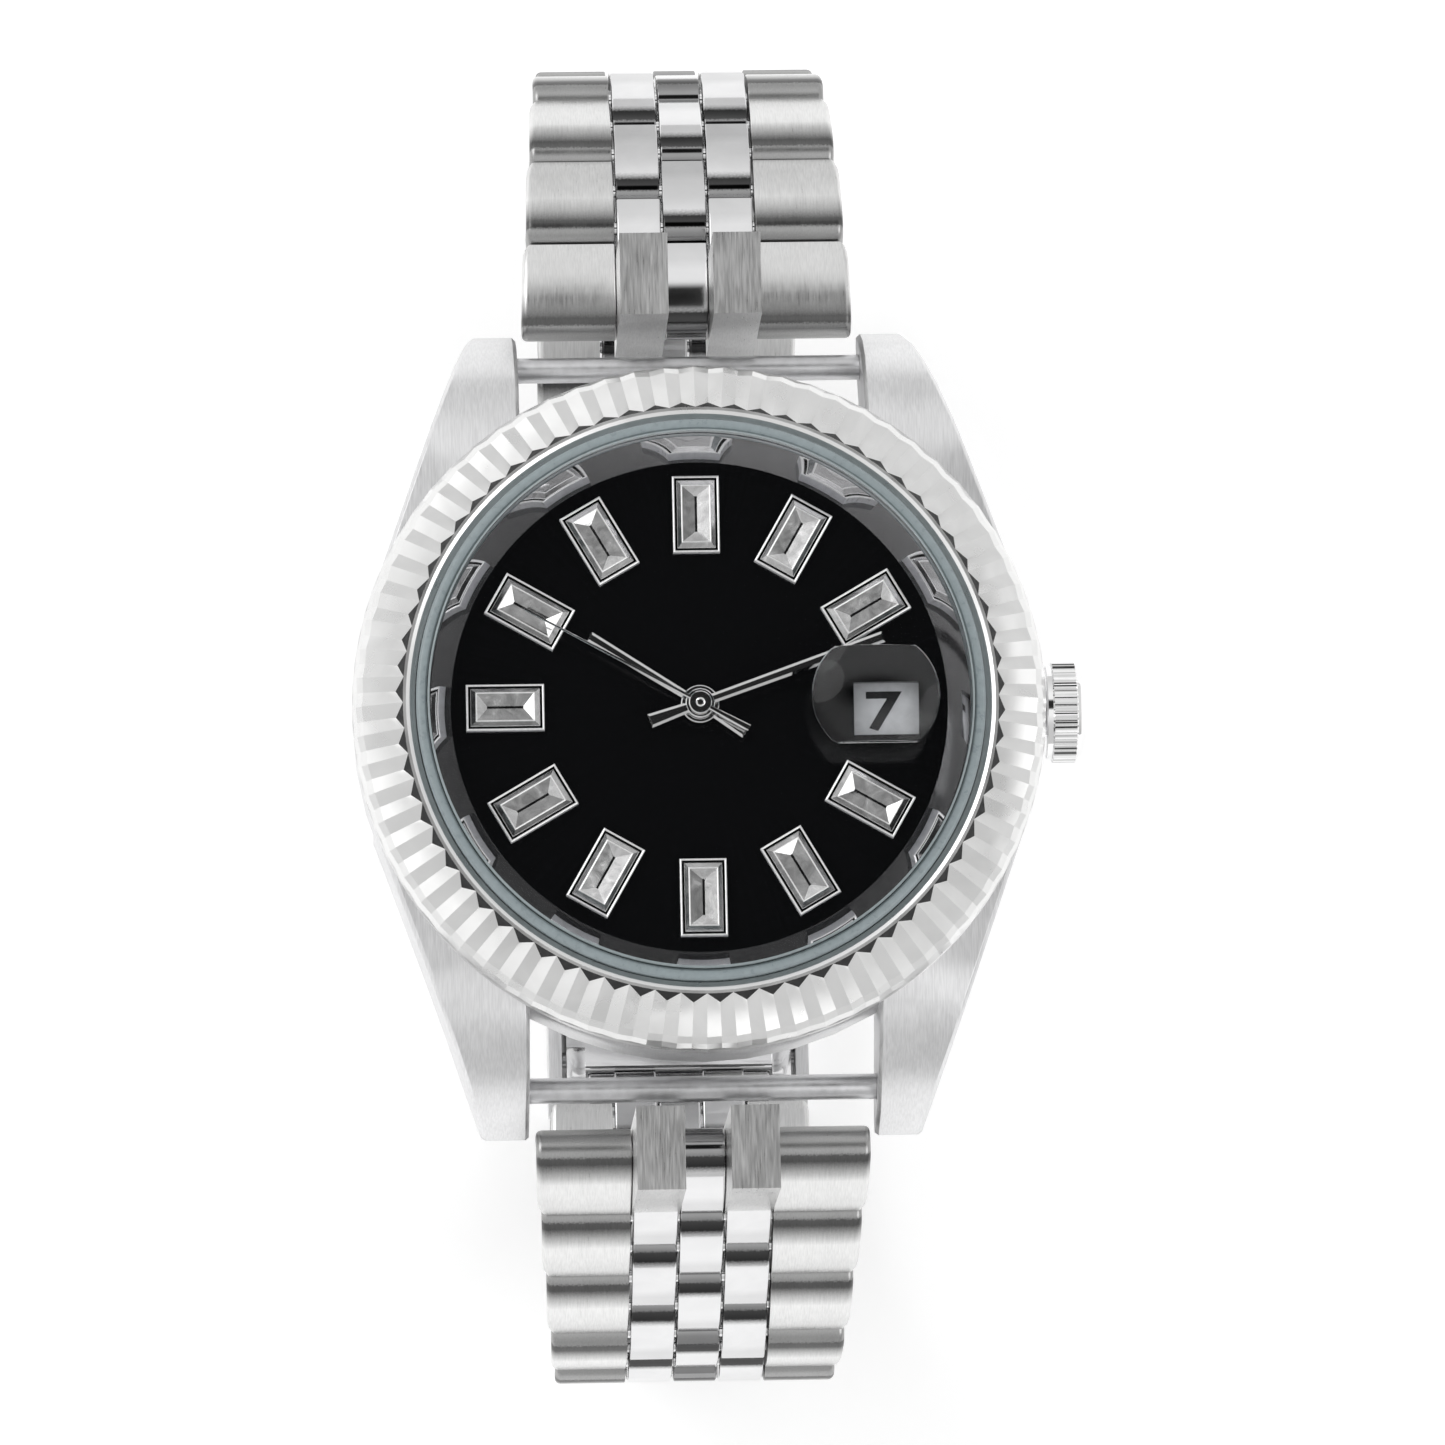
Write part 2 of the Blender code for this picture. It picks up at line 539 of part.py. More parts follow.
def bracelet_row(label, index, pivot, slope, side, barrel):
    """One row: two outer links, the centre link and the two mid links that reach the next hinge."""
    start, end = ROW_HALF_WIDTHS[index], ROW_HALF_WIDTHS[index + 1]
    middle = link_outline(False)
    body = prism("centre", middle, -CENTRE_HALF, CENTRE_HALF)
    fuse(body, rod_x("joint", (PITCH / 2, 0), 0.7, -OUTER_INNER - 0.5, OUTER_INNER + 0.5, 6))
    shifted = [(y + PITCH / 2, z) for y, z in link_outline(True)]
    if barrel:
        shifted = slot((PITCH / 2, 0), (PITCH, 0), LINK_RADIUS, LINK_TURNS)
    for low, high in ((MID_INNER, MID_OUTER), (-MID_OUTER, -MID_INNER)):
        fuse(body, prism("mid", shifted, low, high))
    for sign in (1, -1):
        fuse(body, outer_link(sign, start, end, middle))
    fuse(body, rod_x("pin", (0, 0), PIN_RADIUS, -OUTER_INNER - 0.5, OUTER_INNER + 0.5, 6))
    if barrel:
        fuse(body, rod_x("barrel", (PITCH, 0), 1.22, -barrel, barrel, 16))
    cut(body, rod_x("bore", (PITCH, 0), PIN_BORE + (0.05 if barrel else 0), -barrel - 5, barrel + 5, 8))
    tilt = Matrix.Rotation(pi if side < 0 else 0, 4, "Z") @ Matrix.Rotation(-radians(slope), 4, "X")
    body.data.transform(tilt)
    body.data.transform(Matrix.Translation((0, pivot[0] * MM, pivot[1] * MM)))
    finish(body, f"row_{label}_{index + 1:02d}", "brushed", (0, pivot[0], pivot[1]), sharp=28)


def bracelet_side(side, label, slopes, barrel):
    """Places every row of one side and returns the last hinge, as (y, z) from the dial."""
    y, z = side * END_PIVOT[0], END_PIVOT[1]
    for index, slope in enumerate(slopes):
        last = index == len(slopes) - 1
        bracelet_row(label, index, (y, z), slope, side, barrel if last else 0)
        y += side * PITCH * cos(radians(slope))
        z -= PITCH * sin(radians(slope))
    return y, z


# ---------------------------------------------------------------- clasp


def clasp(far, near):
    """Cover, two folding blades and their pins. far and near are the bracelet's last hinges, in world mm."""
    wall = CLASP_HALF - CLASP_WALL
    cover = box("plate", (-CLASP_HALF, -17.6, 0), (CLASP_HALF, far[0] - 1.5, COVER_THICKNESS))
    for low in (-CLASP_HALF, wall):
        side = [(-17.6, 0), (far[0] - 1.3, 0), (far[0] + 0.55, 1.5), (far[0] + 1.1, 2.0), (far[0] + 1.1, 3.2)]
        side += [(far[0] + 0.3, 3.9), (-15.9, 4.1), (-16.95, 3.3), (-16.95, 1.9), (-17.6, 1.4)]
        fuse(cover, prism("wall", side, low, low + CLASP_WALL))
    cut(cover, rod_x("hinge", COVER_HINGE, 0.51, -9, 9), rod_x("bar", far, 0.58, -9, 9))
    finish(cover, "clasp_cover", "brushed", (0, 0, 0), lift=0)

    outer = box("plate", (-BLADE_HALF, COVER_HINGE[0], 1.45), (BLADE_HALF, FOLD_HINGE[0] - 1.2, 2.2))
    fuse(outer, rod_x("barrel", COVER_HINGE, 0.8, -BLADE_HALF, BLADE_HALF, 14))
    fuse(outer, prism("tongue", slot((11.5, 1.95), FOLD_HINGE, 0.5, 6), -3.0, 3.0))
    fuse(outer, rod_x("knuckle", FOLD_HINGE, 0.88, -3.0, 3.0, 14))
    cut(outer, rod_x("pin", COVER_HINGE, 0.475, -9, 9), rod_x("fold", FOLD_HINGE, 0.51, -9, 9))
    finish(outer, "clasp_outer_blade", "polished", (0, *COVER_HINGE), lift=0)

    inner = box("plate", (-BLADE_HALF, near[0] + 1.5, 2.95), (BLADE_HALF, FOLD_HINGE[0] - 1.2, 3.65))
    for low, high in ((3.15, BLADE_HALF - 0.3), (0.3 - BLADE_HALF, -3.15)):
        fuse(inner, prism("ear", slot((11.5, 3.2), FOLD_HINGE, 0.45, 6), low, high))
        fuse(inner, rod_x("knuckle", FOLD_HINGE, 0.88, low, high, 14))
    for low, high in ((5.75, BLADE_HALF), (-BLADE_HALF, -5.75)):
        fuse(inner, prism("arm", slot((near[0] + 2.2, 3.45), near, 0.55, 6), low, high))
    fuse(inner, rod_x("pin", near, 0.5, -6.2, 6.2, 12))
    cut(inner, rod_x("fold", FOLD_HINGE, 0.475, -9, 9))
    finish(inner, "clasp_inner_blade", "polished", (0, *near), lift=0)

    finish(rod_x("pin", COVER_HINGE, 0.45, -7.8, 7.8), "clasp_cover_pin", "polished", (0, *COVER_HINGE), lift=0)
    finish(rod_x("pin", FOLD_HINGE, 0.45, -6.5, 6.5), "clasp_fold_pin", "polished", (0, *FOLD_HINGE), lift=0)
    finish(rod_x("bar", far, 0.5, -6.95, 6.95), "clasp_spring_bar", "satin", (0, *far), lift=0)


clear_scene()
PARTS = new_collection("wristwatch")
HELPERS = new_collection("helpers")
mid_case()
bezel()
front()
case_back()
dial()
hands()
date_disc()
fixed_movement()
moving_movement()
crown_parts()
end_link(1, "12")
end_link(-1, "6")
FAR_HINGE = bracelet_side(1, "12", SLOPES_12, LAST_BARREL_12)
NEAR_HINGE = bracelet_side(-1, "6", SLOPES_6, LAST_BARREL_6)
clasp((FAR_HINGE[0], FAR_HINGE[1] + DIAL_HEIGHT), (NEAR_HINGE[0], NEAR_HINGE[1] + DIAL_HEIGHT))
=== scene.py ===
# Looks for an automatic wristwatch with a five-column bracelet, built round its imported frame.
# Lengths are millimetres in the code and become metres when a mesh is stored. The watch stands on its
# clasp with the dial up: +Z out of the dial, +Y to 12 o'clock, +X to the crown. "Head height" means
# millimetres above the dial's top face.
import json
from math import asin, atan2, cos, hypot, pi, radians, sin, sqrt

import bmesh
import bpy
from mathutils import Matrix, Vector

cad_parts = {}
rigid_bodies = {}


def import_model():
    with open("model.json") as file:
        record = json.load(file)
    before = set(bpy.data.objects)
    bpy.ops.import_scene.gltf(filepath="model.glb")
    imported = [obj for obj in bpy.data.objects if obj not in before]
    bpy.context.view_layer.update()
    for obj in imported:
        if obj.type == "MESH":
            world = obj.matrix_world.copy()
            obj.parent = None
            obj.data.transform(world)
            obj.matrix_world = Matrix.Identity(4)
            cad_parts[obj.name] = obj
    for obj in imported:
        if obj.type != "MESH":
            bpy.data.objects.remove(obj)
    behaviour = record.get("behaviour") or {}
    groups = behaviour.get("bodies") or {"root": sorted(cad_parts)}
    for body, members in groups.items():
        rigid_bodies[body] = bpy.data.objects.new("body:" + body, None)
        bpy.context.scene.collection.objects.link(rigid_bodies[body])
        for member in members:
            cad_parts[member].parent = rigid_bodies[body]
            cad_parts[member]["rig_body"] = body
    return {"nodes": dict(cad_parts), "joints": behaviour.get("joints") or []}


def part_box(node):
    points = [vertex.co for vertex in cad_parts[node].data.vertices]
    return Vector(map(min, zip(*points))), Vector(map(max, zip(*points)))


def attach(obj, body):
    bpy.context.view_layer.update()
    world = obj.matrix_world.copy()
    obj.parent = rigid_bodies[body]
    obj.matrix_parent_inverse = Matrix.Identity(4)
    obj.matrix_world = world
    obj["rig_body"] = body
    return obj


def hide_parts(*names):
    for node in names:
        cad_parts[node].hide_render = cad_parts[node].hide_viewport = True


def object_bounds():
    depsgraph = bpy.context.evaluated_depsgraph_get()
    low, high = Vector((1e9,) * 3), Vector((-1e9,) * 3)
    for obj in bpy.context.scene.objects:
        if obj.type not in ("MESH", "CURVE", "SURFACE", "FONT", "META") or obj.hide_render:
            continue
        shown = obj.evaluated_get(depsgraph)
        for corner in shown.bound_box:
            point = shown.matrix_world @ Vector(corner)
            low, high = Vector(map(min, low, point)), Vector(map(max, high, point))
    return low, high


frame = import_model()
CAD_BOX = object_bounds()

MM = 0.001
NODES = frame["nodes"]
JOINTS = {joint["child"]: joint for joint in frame["joints"]}

# Bracelet: row pitch, half thickness, crown of the outer face, and where the columns begin and end
PITCH = 5.4
LINK_RADIUS = 1.3
LINK_CROWN = 0.12
LINK_CLEARANCE = 0.14
CENTRE_HALF = 1.27
MID_INNER = 1.42
MID_OUTER = 4.0
OUTER_INNER = 4.15
OUTER_EDGES = (0.07, 0.32)
INNER_EDGES = (0.10, 0.10)

# Bracelet pins: cross pin, the barrel that closes each side, and how far each reaches across
PIN_RADIUS = 0.42
PIN_OVERLAP = 0.3
PIN_EDGES = (0.02, 0.02)
BARREL_RADIUS = 1.2
BARREL_INSET = 0.35
BARREL_HALF_6 = 5.6
BARREL_EDGES = (0.15, 0.15)

# Bezel, dial and crown detail
FLUTES = 72
RIM_RADIUS = 17.1
FLUTE_END_DEPTH = 0.74
FLUTE_END_RUN = 0.42
MARKER_CENTRE = 11.2
MARKER_SIZE = (2.7, 4.5)
FRAME_WIDTH = 0.13
STONE_GAP = 0.12
DATE_WINDOW = ((9.3, -1.05), (11.9, 1.05))
NUMERAL_SIZE = 2.35
NUMERAL_RADIUS = 10.45
NUMERAL_WEIGHT = 0.045
NUMERAL_RELIEF = 0.008
NUMERAL_HEIGHT = 0.82
CROWN_TEETH = 40
KNURL_DEPTH = 0.2
LENS_RIM = 0.10

# Head heights of each hand's underside and top
HAND_SHEETS = {"hour_hand": (0.64, 0.80), "minute_hand": (1.0, 1.14), "seconds_hand": (1.3, 1.4)}

# End links: where the notches for the half links begin, and how far out they cut
NOTCH_START = 23.17
NOTCH_END = 28.0
NOTCH_MARGIN = 0.1

# Studio: the dark bar's centre, squeeze along X and brightness by distance, and the dimmer side
CARD_CENTRE = (0.02, 0.175, 0.0)
CARD_SQUEEZE = (0.45, 1.0, 0.0)
CARD_STOPS = [(0.0, 0.02), (0.15, 0.03), (0.24, 1.0), (0.46, 1.0), (0.8, 0.72), (1.0, 0.70)]
DIM_SIDE = (0.97, -0.24, 0.0)
DIM_STOPS = [(0.0, 1.0), (0.12, 1.0), (0.6, 0.80), (1.0, 0.74)]
FLOOR_GLOW = 0.26
FLOOR_SIZE = 900
FLOOR_DROP = 0.0002
LIGHT_SIZE = 0.6
LIGHT_POWER = 1.6
LIGHT_TARGET = (0, 0, 0.03)

# Camera: point aimed at, tilt toward -X and -Y and roll in degrees, distance in metres, focal length
CAMERA_AIM = (1.3, -0.97)
CAMERA_TILT = (2.5, 10.2)
CAMERA_ROLL = -1.2
CAMERA_DISTANCE = 0.55
CAMERA_LENS = 238

# Brightness painted into a link by millimetres along it from its start, as painted shade in the groove where
# it begins and painted reflection bands after it: brushed outer links, polished inner ones
OUTER_PAINTED_SHADE = [(-1.1, 0.50), (-0.72, 0.46), (-0.60, 0.17), (-0.25, 0.15), (0.45, 0.60), (1.3, 1.0)]
OUTER_PAINTED_SHADE += [(3.2, 0.92)]
INNER_PAINTED_SHADE = [(-1.1, 0.42), (-0.72, 0.38), (-0.62, 0.10), (-0.02, 0.05), (0.28, 0.72), (0.45, 1.0)]
INNER_PAINTED_SHADE += [(2.6, 0.97), (3.3, 0.84)]
BAND_BEFORE = 1.5
BAND_AFTER = 3.5
BAND_WOBBLE = 0.05


# ---------------------------------------------------------------- measures from the frame


def low_high(node):
    """A node's lowest and highest corner in millimetres."""
    low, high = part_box(node)
    return low / MM, high / MM


DIAL_TOP = JOINTS["minute"]["pos_m"][2] / MM


def head_box(node):
    """A node's corners with z as a head height."""
    low, high = low_high(node)
    lift = Vector((0, 0, DIAL_TOP))
    return low - lift, high - lift


# ---------------------------------------------------------------- material helpers


def new_material(name, colour, metallic, roughness, sockets=()):
    """A Principled material. Returns it with its node tree and shader."""
    material = bpy.data.materials.new(name)
    material.use_nodes = True
    shader = material.node_tree.nodes["Principled BSDF"]
    shader.inputs["Base Color"].default_value = (*colour, 1)
    shader.inputs["Metallic"].default_value = metallic
    shader.inputs["Roughness"].default_value = roughness
    for socket, value in dict(sockets).items():
        shader.inputs[socket].default_value = value
    return material, material.node_tree, shader


def noise(tree, scale, detail=3.0, distortion=0.0):
    """Noise in the object's own space, with a scale per metre for each axis."""
    place = tree.nodes.new("ShaderNodeTexCoord")
    mapping = tree.nodes.new("ShaderNodeMapping")
    mapping.inputs["Scale"].default_value = scale
    texture = tree.nodes.new("ShaderNodeTexNoise")
    texture.inputs["Scale"].default_value = 1.0
    texture.inputs["Detail"].default_value = detail
    texture.inputs["Distortion"].default_value = distortion
    tree.links.new(place.outputs["Object"], mapping.inputs["Vector"])
    tree.links.new(mapping.outputs["Vector"], texture.inputs["Vector"])
    return texture.outputs["Fac"]


def ramp(tree, value, stops):
    """Colours a value by (position, grey or colour) stops."""
    node = tree.nodes.new("ShaderNodeValToRGB")
    elements = node.color_ramp.elements
    while len(elements) < len(stops):
        elements.new(0.5)
    for element, (position, colour) in zip(elements, stops):
        element.position = position
        element.color = (*colour, 1) if isinstance(colour, tuple) else (colour, colour, colour, 1)
    tree.links.new(value, node.inputs["Fac"])
    return node.outputs["Color"]


def roughen(tree, shader, value, low, high, start=0.3, end=0.7):
    """Drives roughness from low to high as the value goes from start to end."""
    node = tree.nodes.new("ShaderNodeMapRange")
    node.inputs["From Min"].default_value = start
    node.inputs["From Max"].default_value = end
    node.inputs["To Min"].default_value = low
    node.inputs["To Max"].default_value = high
    tree.links.new(value, node.inputs["Value"])
    tree.links.new(node.outputs["Result"], shader.inputs["Roughness"])


def bump(tree, shader, height, strength, distance):
    """Bump from a height value. distance is in millimetres."""
    node = tree.nodes.new("ShaderNodeBump")
    node.inputs["Strength"].default_value = strength
    node.inputs["Distance"].default_value = distance * MM
    tree.links.new(height, node.inputs["Height"])
    tree.links.new(node.outputs["Normal"], shader.inputs["Normal"])


# ---------------------------------------------------------------- materials


def brushed_steel(name, colour, grain, roughness=(0.24, 0.40), strength=0.25):
    """Steel with a fine grain. grain is the noise scale per metre along each axis, low along the strokes."""
    material, tree, shader = new_material(name, colour, 1.0, sum(roughness) / 2)
    strokes = noise(tree, grain, detail=4)
    patches = noise(tree, (420, 260, 420), detail=3)
    mix = tree.nodes.new("ShaderNodeMath")
    mix.operation = "MULTIPLY_ADD"
    mix.inputs[1].default_value = 0.7
    tree.links.new(strokes, mix.inputs[0])
    half = tree.nodes.new("ShaderNodeMath")
    half.operation = "MULTIPLY"
    half.inputs[1].default_value = 0.3
    tree.links.new(patches, half.inputs[0])
    tree.links.new(half.outputs["Value"], mix.inputs[2])
    value = mix.outputs["Value"]
    dark = tuple(0.88 * part for part in colour)
    light = tuple(min(1.06 * part, 1) for part in colour)
    tree.links.new(ramp(tree, value, [(0.35, dark), (0.65, light)]), shader.inputs["Base Color"])
    roughen(tree, shader, value, *roughness)
    bump(tree, shader, strokes, strength, 0.004)
    return material


def polished_steel(name, colour, roughness=(0.05, 0.12), strength=0.05, metallic=1.0):
    """Mirror steel with faint handling marks."""
    material, tree, shader = new_material(name, colour, metallic, sum(roughness) / 2)
    marks = noise(tree, (420, 420, 420), detail=5, distortion=0.6)
    dark = tuple(0.94 * part for part in colour)
    tree.links.new(ramp(tree, marks, [(0.35, dark), (0.65, colour)]), shader.inputs["Base Color"])
    roughen(tree, shader, marks, *roughness)
    bump(tree, shader, marks, strength, 0.02)
    return material


def banded(material, start, stops):
    """Paints shade into the groove at a link's start, with painted reflection bands after it. start is where
    the link begins along the row's own Y, in mm.
    """
    tree = material.node_tree
    shader = tree.nodes["Principled BSDF"]
    place = tree.nodes.new("ShaderNodeTexCoord")
    parts = tree.nodes.new("ShaderNodeSeparateXYZ")
    tree.links.new(place.outputs["Object"], parts.inputs["Vector"])
    share = tree.nodes.new("ShaderNodeMapRange")
    share.inputs["From Min"].default_value = (start - BAND_BEFORE) * MM
    share.inputs["From Max"].default_value = (start + BAND_AFTER) * MM
    tree.links.new(parts.outputs["Y"], share.inputs["Value"])
    wobble = tree.nodes.new("ShaderNodeMath")
    wobble.operation = "MULTIPLY_ADD"
    wobble.inputs[1].default_value = BAND_WOBBLE
    tree.links.new(noise(tree, (9000, 9000, 9000), detail=4), wobble.inputs[0])
    tree.links.new(share.outputs["Result"], wobble.inputs[2])
    reach = BAND_BEFORE + BAND_AFTER
    places = [((at + BAND_BEFORE) / reach + BAND_WOBBLE / 2, grey) for at, grey in stops]
    bands = ramp(tree, wobble.outputs["Value"], places)
    mix = tree.nodes.new("ShaderNodeMix")
    mix.data_type = "RGBA"
    mix.blend_type = "MULTIPLY"
    mix.inputs["Factor"].default_value = 1.0
    steel = shader.inputs["Base Color"].links[0].from_socket
    tree.links.new(steel, mix.inputs["A"])
    tree.links.new(bands, mix.inputs["B"])
    tree.links.new(mix.outputs["Result"], shader.inputs["Base Color"])
    return material


def dial_lacquer():
    """Black lacquer over a sunburst-brushed base."""
    material, tree, shader = new_material("dial_lacquer", (0.004, 0.004, 0.005), 0.0, 0.16)
    shader.inputs["Specular IOR Level"].default_value = 0.22
    place = tree.nodes.new("ShaderNodeTexCoord")
    parts = tree.nodes.new("ShaderNodeSeparateXYZ")
    angle = tree.nodes.new("ShaderNodeMath")
    angle.operation = "ARCTAN2"
    tree.links.new(place.outputs["Object"], parts.inputs["Vector"])
    tree.links.new(parts.outputs["Y"], angle.inputs[0])
    tree.links.new(parts.outputs["X"], angle.inputs[1])
    rays = tree.nodes.new("ShaderNodeTexNoise")
    rays.noise_dimensions = "1D"
    rays.inputs["Scale"].default_value = 90
    rays.inputs["Detail"].default_value = 4
    tree.links.new(angle.outputs["Value"], rays.inputs["W"])
    value = rays.outputs["Fac"]
    colour = ramp(tree, value, [(0.3, 0.0015), (0.7, (0.0035, 0.0035, 0.0042))])
    tree.links.new(colour, shader.inputs["Base Color"])
    roughen(tree, shader, value, 0.09, 0.14)
    bump(tree, shader, value, 0.01, 0.01)
    return material


def stone_material(name, dark, light):
    """Cut stone made as an opaque mirror: painted inner reflections, grey patches that drift across each
    facet, under a clear coat.
    """
    material, tree, shader = new_material(name, (dark, dark, dark), 1.0, 0.12)
    shader.inputs["Coat Weight"].default_value = 0.5
    shader.inputs["Coat Roughness"].default_value = 0.03
    drift = noise(tree, (900, 900, 700), detail=3, distortion=1.2)
    # Grey to light patches painted into the colour: painted inner reflections.
    stops = [(0.3, dark), (0.62, (dark + light) / 2), (0.72, light)]
    tree.links.new(ramp(tree, drift, stops), shader.inputs["Base Color"])
    roughen(tree, shader, drift, 0.06, 0.20)
    bump(tree, shader, drift, 0.15, 0.03)
    return material


def soft_plastic(name, colour, roughness):
    """Matt or satin plastic with a fine moulded texture."""
    material, tree, shader = new_material(name, colour, 0.0, roughness)
    grain = noise(tree, (2600, 2600, 2600), detail=3)
    dark = tuple(0.85 * part for part in colour)
    tree.links.new(ramp(tree, grain, [(0.3, dark), (0.7, colour)]), shader.inputs["Base Color"])
    roughen(tree, shader, grain, roughness * 0.85, min(roughness * 1.2, 1))
    bump(tree, shader, grain, 0.12, 0.01)
    return material


def clear_sheet(name, alpha):
    """Flat sapphire seen straight through, with only a faint reflection."""
    material, tree, shader = new_material(name, (0.02, 0.022, 0.024), 0.0, 0.03)
    shader.inputs["Alpha"].default_value = alpha
    shader.inputs["Specular IOR Level"].default_value = 0.25
    haze = noise(tree, (300, 300, 300), detail=2)
    roughen(tree, shader, haze, 0.02, 0.06)
    bump(tree, shader, haze, 0.01, 0.01)
    material.surface_render_method = "BLENDED"
    return material


def lens_glass():
    """Sapphire of the date magnifier."""
    material, tree, shader = new_material("lens_sapphire", (0.98, 0.99, 1.0), 0.0, 0.01)
    shader.inputs["IOR"].default_value = 1.68
    shader.inputs["Specular Tint"].default_value = (0.2, 0.2, 0.2, 1)
    shader.inputs["Transmission Weight"].default_value = 1.0
    smear = noise(tree, (260, 260, 260), detail=2)
    roughen(tree, shader, smear, 0.0, 0.02)
    return material


LINK_STEEL = brushed_steel("link_brushed", (0.80, 0.80, 0.795), (13000, 900, 9000), (0.26, 0.38))
CENTRE_STEEL = polished_steel("centre_link_steel", (0.79, 0.79, 0.795))
MID_STEEL = polished_steel("mid_link_steel", (0.79, 0.79, 0.795))
END_GRAIN = (12000, 700, 1400)
MATERIALS = {
    "polished": polished_steel("polished_steel", (0.86, 0.86, 0.865)),
    "hands": polished_steel("hand_steel", (0.90, 0.90, 0.90), (0.03, 0.08), 0.02),
    "bezel": polished_steel("fluted_steel", (0.84, 0.84, 0.835), (0.26, 0.34), 0.05),
    # Near-black matt plastic on the bezel's steep steel walls: painted shade.
    "flute_wall_painted_shade": soft_plastic("flute_end_dark", (0.012, 0.012, 0.013), 0.6),
    "rehaut": polished_steel("rehaut_mirror", (0.88, 0.88, 0.90), (0.02, 0.05), 0.01, 0.98),
    # The link materials carry painted shade at each link's start and painted reflection bands along it,
    # multiplied into the steel colour.
    "links": banded(LINK_STEEL, 0.0, OUTER_PAINTED_SHADE),
    "centre": banded(CENTRE_STEEL, 0.0, INNER_PAINTED_SHADE),
    "mids": banded(MID_STEEL, PITCH / 2, INNER_PAINTED_SHADE),
    "case": brushed_steel("case_brushed", (0.76, 0.76, 0.765), (12000, 800, 2500), (0.28, 0.40), 0.12),
    "end_link": brushed_steel("end_link_brushed", (0.78, 0.78, 0.775), END_GRAIN, (0.26, 0.38), 0.14),
    "satin": brushed_steel("satin_steel", (0.62, 0.62, 0.63), (1800, 1800, 1800), (0.30, 0.45), 0.10),
    "brass": brushed_steel("brushed_brass", (0.72, 0.55, 0.26), (2400, 400, 2400), (0.24, 0.38), 0.10),
    "dial": dial_lacquer(),
    "stone": stone_material("cut_stone", 0.20, 0.55),
    # A brighter copy of the stone for its end facets: painted highlight.
    "stone_painted_bright_end": stone_material("cut_stone_ends", 0.5, 0.92),
    "trim": brushed_steel("trim_steel", (0.94, 0.94, 0.94), (6000, 6000, 6000), (0.30, 0.42), 0.05),
    "disc": soft_plastic("date_disc_print", (0.82, 0.83, 0.85), 0.5),
    "ink": soft_plastic("numeral_ink", (0.01, 0.01, 0.012), 0.55),
    # Pale diffuse paint on the frames' outer metal walls: painted light standing in for light through the
    # stones.
    "pale": soft_plastic("frame_side_painted_light", (0.90, 0.91, 0.93), 0.30),
    "seal": soft_plastic("seal_plastic", (0.29, 0.34, 0.355), 0.30),
    "rubber": soft_plastic("black_rubber", (0.02, 0.02, 0.02), 0.65),
    "edge": soft_plastic("crystal_edge", (0.30, 0.35, 0.36), 0.22),
    "crystal": clear_sheet("crystal_sapphire", 0.05),
    "lens": lens_glass(),
}


# ---------------------------------------------------------------- mesh helpers


def store(name, bm, looks, body, nodes=(), sharp=32, place=None):
    """Makes an object from a millimetre bmesh, rides it on a body and lets it stand for CAD nodes."""
    bmesh.ops.recalc_face_normals(bm, faces=bm.faces)
    bmesh.ops.scale(bm, vec=(MM, MM, MM), verts=bm.verts)
    mesh = bpy.data.meshes.new(name)
    bm.to_mesh(mesh)
    bm.free()
    for look in looks if isinstance(looks, (list, tuple)) else (looks,):
        mesh.materials.append(MATERIALS[look])
    mesh.shade_smooth()
    mesh.set_sharp_from_angle(angle=radians(sharp))
    item = bpy.data.objects.new(name, mesh)
    bpy.context.scene.collection.objects.link(item)
    if place is not None:
        item.matrix_world = place
    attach(item, body)
    if nodes:
        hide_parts(*nodes)
    return item


def add_loft(bm, rings, material=0):
    """Joins rings of points with quads, and fills the first and last."""
    made = [[bm.verts.new(point) for point in ring] for ring in rings]
    faces = []
    for first, second in zip(made, made[1:]):
        for index in range(len(first)):
            after = (index + 1) % len(first)
            faces.append(bm.faces.new((first[index], first[after], second[after], second[index])))
    faces += [bm.faces.new(made[0]), bm.faces.new(made[-1])]
    for face in faces:
        face.material_index = material
    return faces


def add_lathe(bm, profile, steps=144, lift=0.0, materials=None, shape=None):
    """Turns a closed (radius, z) profile round the Z axis. materials gives one index per profile side."""
    rings = []
    for step in range(steps):
        turn = 2 * pi * step / steps
        ring = []
        for radius, z in profile:
            reach = radius if shape is None else shape(radius, turn)
            ring.append(bm.verts.new((reach * cos(turn), reach * sin(turn), z + lift)))
        rings.append(ring)
    count = len(profile)
    for first, second in zip(rings, rings[1:] + rings[:1]):
        for index in range(count):
            after = (index + 1) % count
            if profile[index][0] < 1e-6 and profile[after][0] < 1e-6:
                continue
            face = bm.faces.new((first[index], first[after], second[after], second[index]))
            face.material_index = materials[index] if materials else 0
    bmesh.ops.remove_doubles(bm, verts=bm.verts, dist=1e-5)


def arc(centre, radius, start, end, count):
    """Points of an arc, from start to end degrees."""
    turns = [radians(start + (end - start) * index / count) for index in range(count + 1)]
    return [(centre[0] + radius * cos(turn), centre[1] + radius * sin(turn)) for turn in turns]


def inset(outline, amounts):
    """Moves each point of a closed outline inward along its own normal."""
    area = sum(a[0] * b[1] - b[0] * a[1] for a, b in zip(outline, outline[1:] + outline[:1]))
    side = 1 if area > 0 else -1
    result = []
    count = len(outline)
    for index, point in enumerate(outline):
        before = Vector(outline[index - 1])
        here = Vector(point)
        after = Vector(outline[(index + 1) % count])
        first = (here - before).normalized()
        second = (after - here).normalized()
        normal = Vector((-(first.y + second.y), first.x + second.x)) * side
        if normal.length < 1e-6:
            normal = Vector((-first.y, first.x)) * side
        normal.normalize()
        across = Vector((-first.y, first.x)) * side
        miter = min(1 / max(normal.dot(across), 0.4), 1.6)
        moved = here + normal * amounts[index] * miter
        result.append((moved.x, moved.y))
    return result


def rounding(width, count):
    """(distance from the side, inset) pairs of a quarter-round edge, from the side face inward."""
    pairs = []
    for index in range(count + 1):
        turn = pi / 2 * index / count
        pairs.append((width * (1 - sin(turn)), width * (1 - cos(turn))))
    return pairs[::-1]


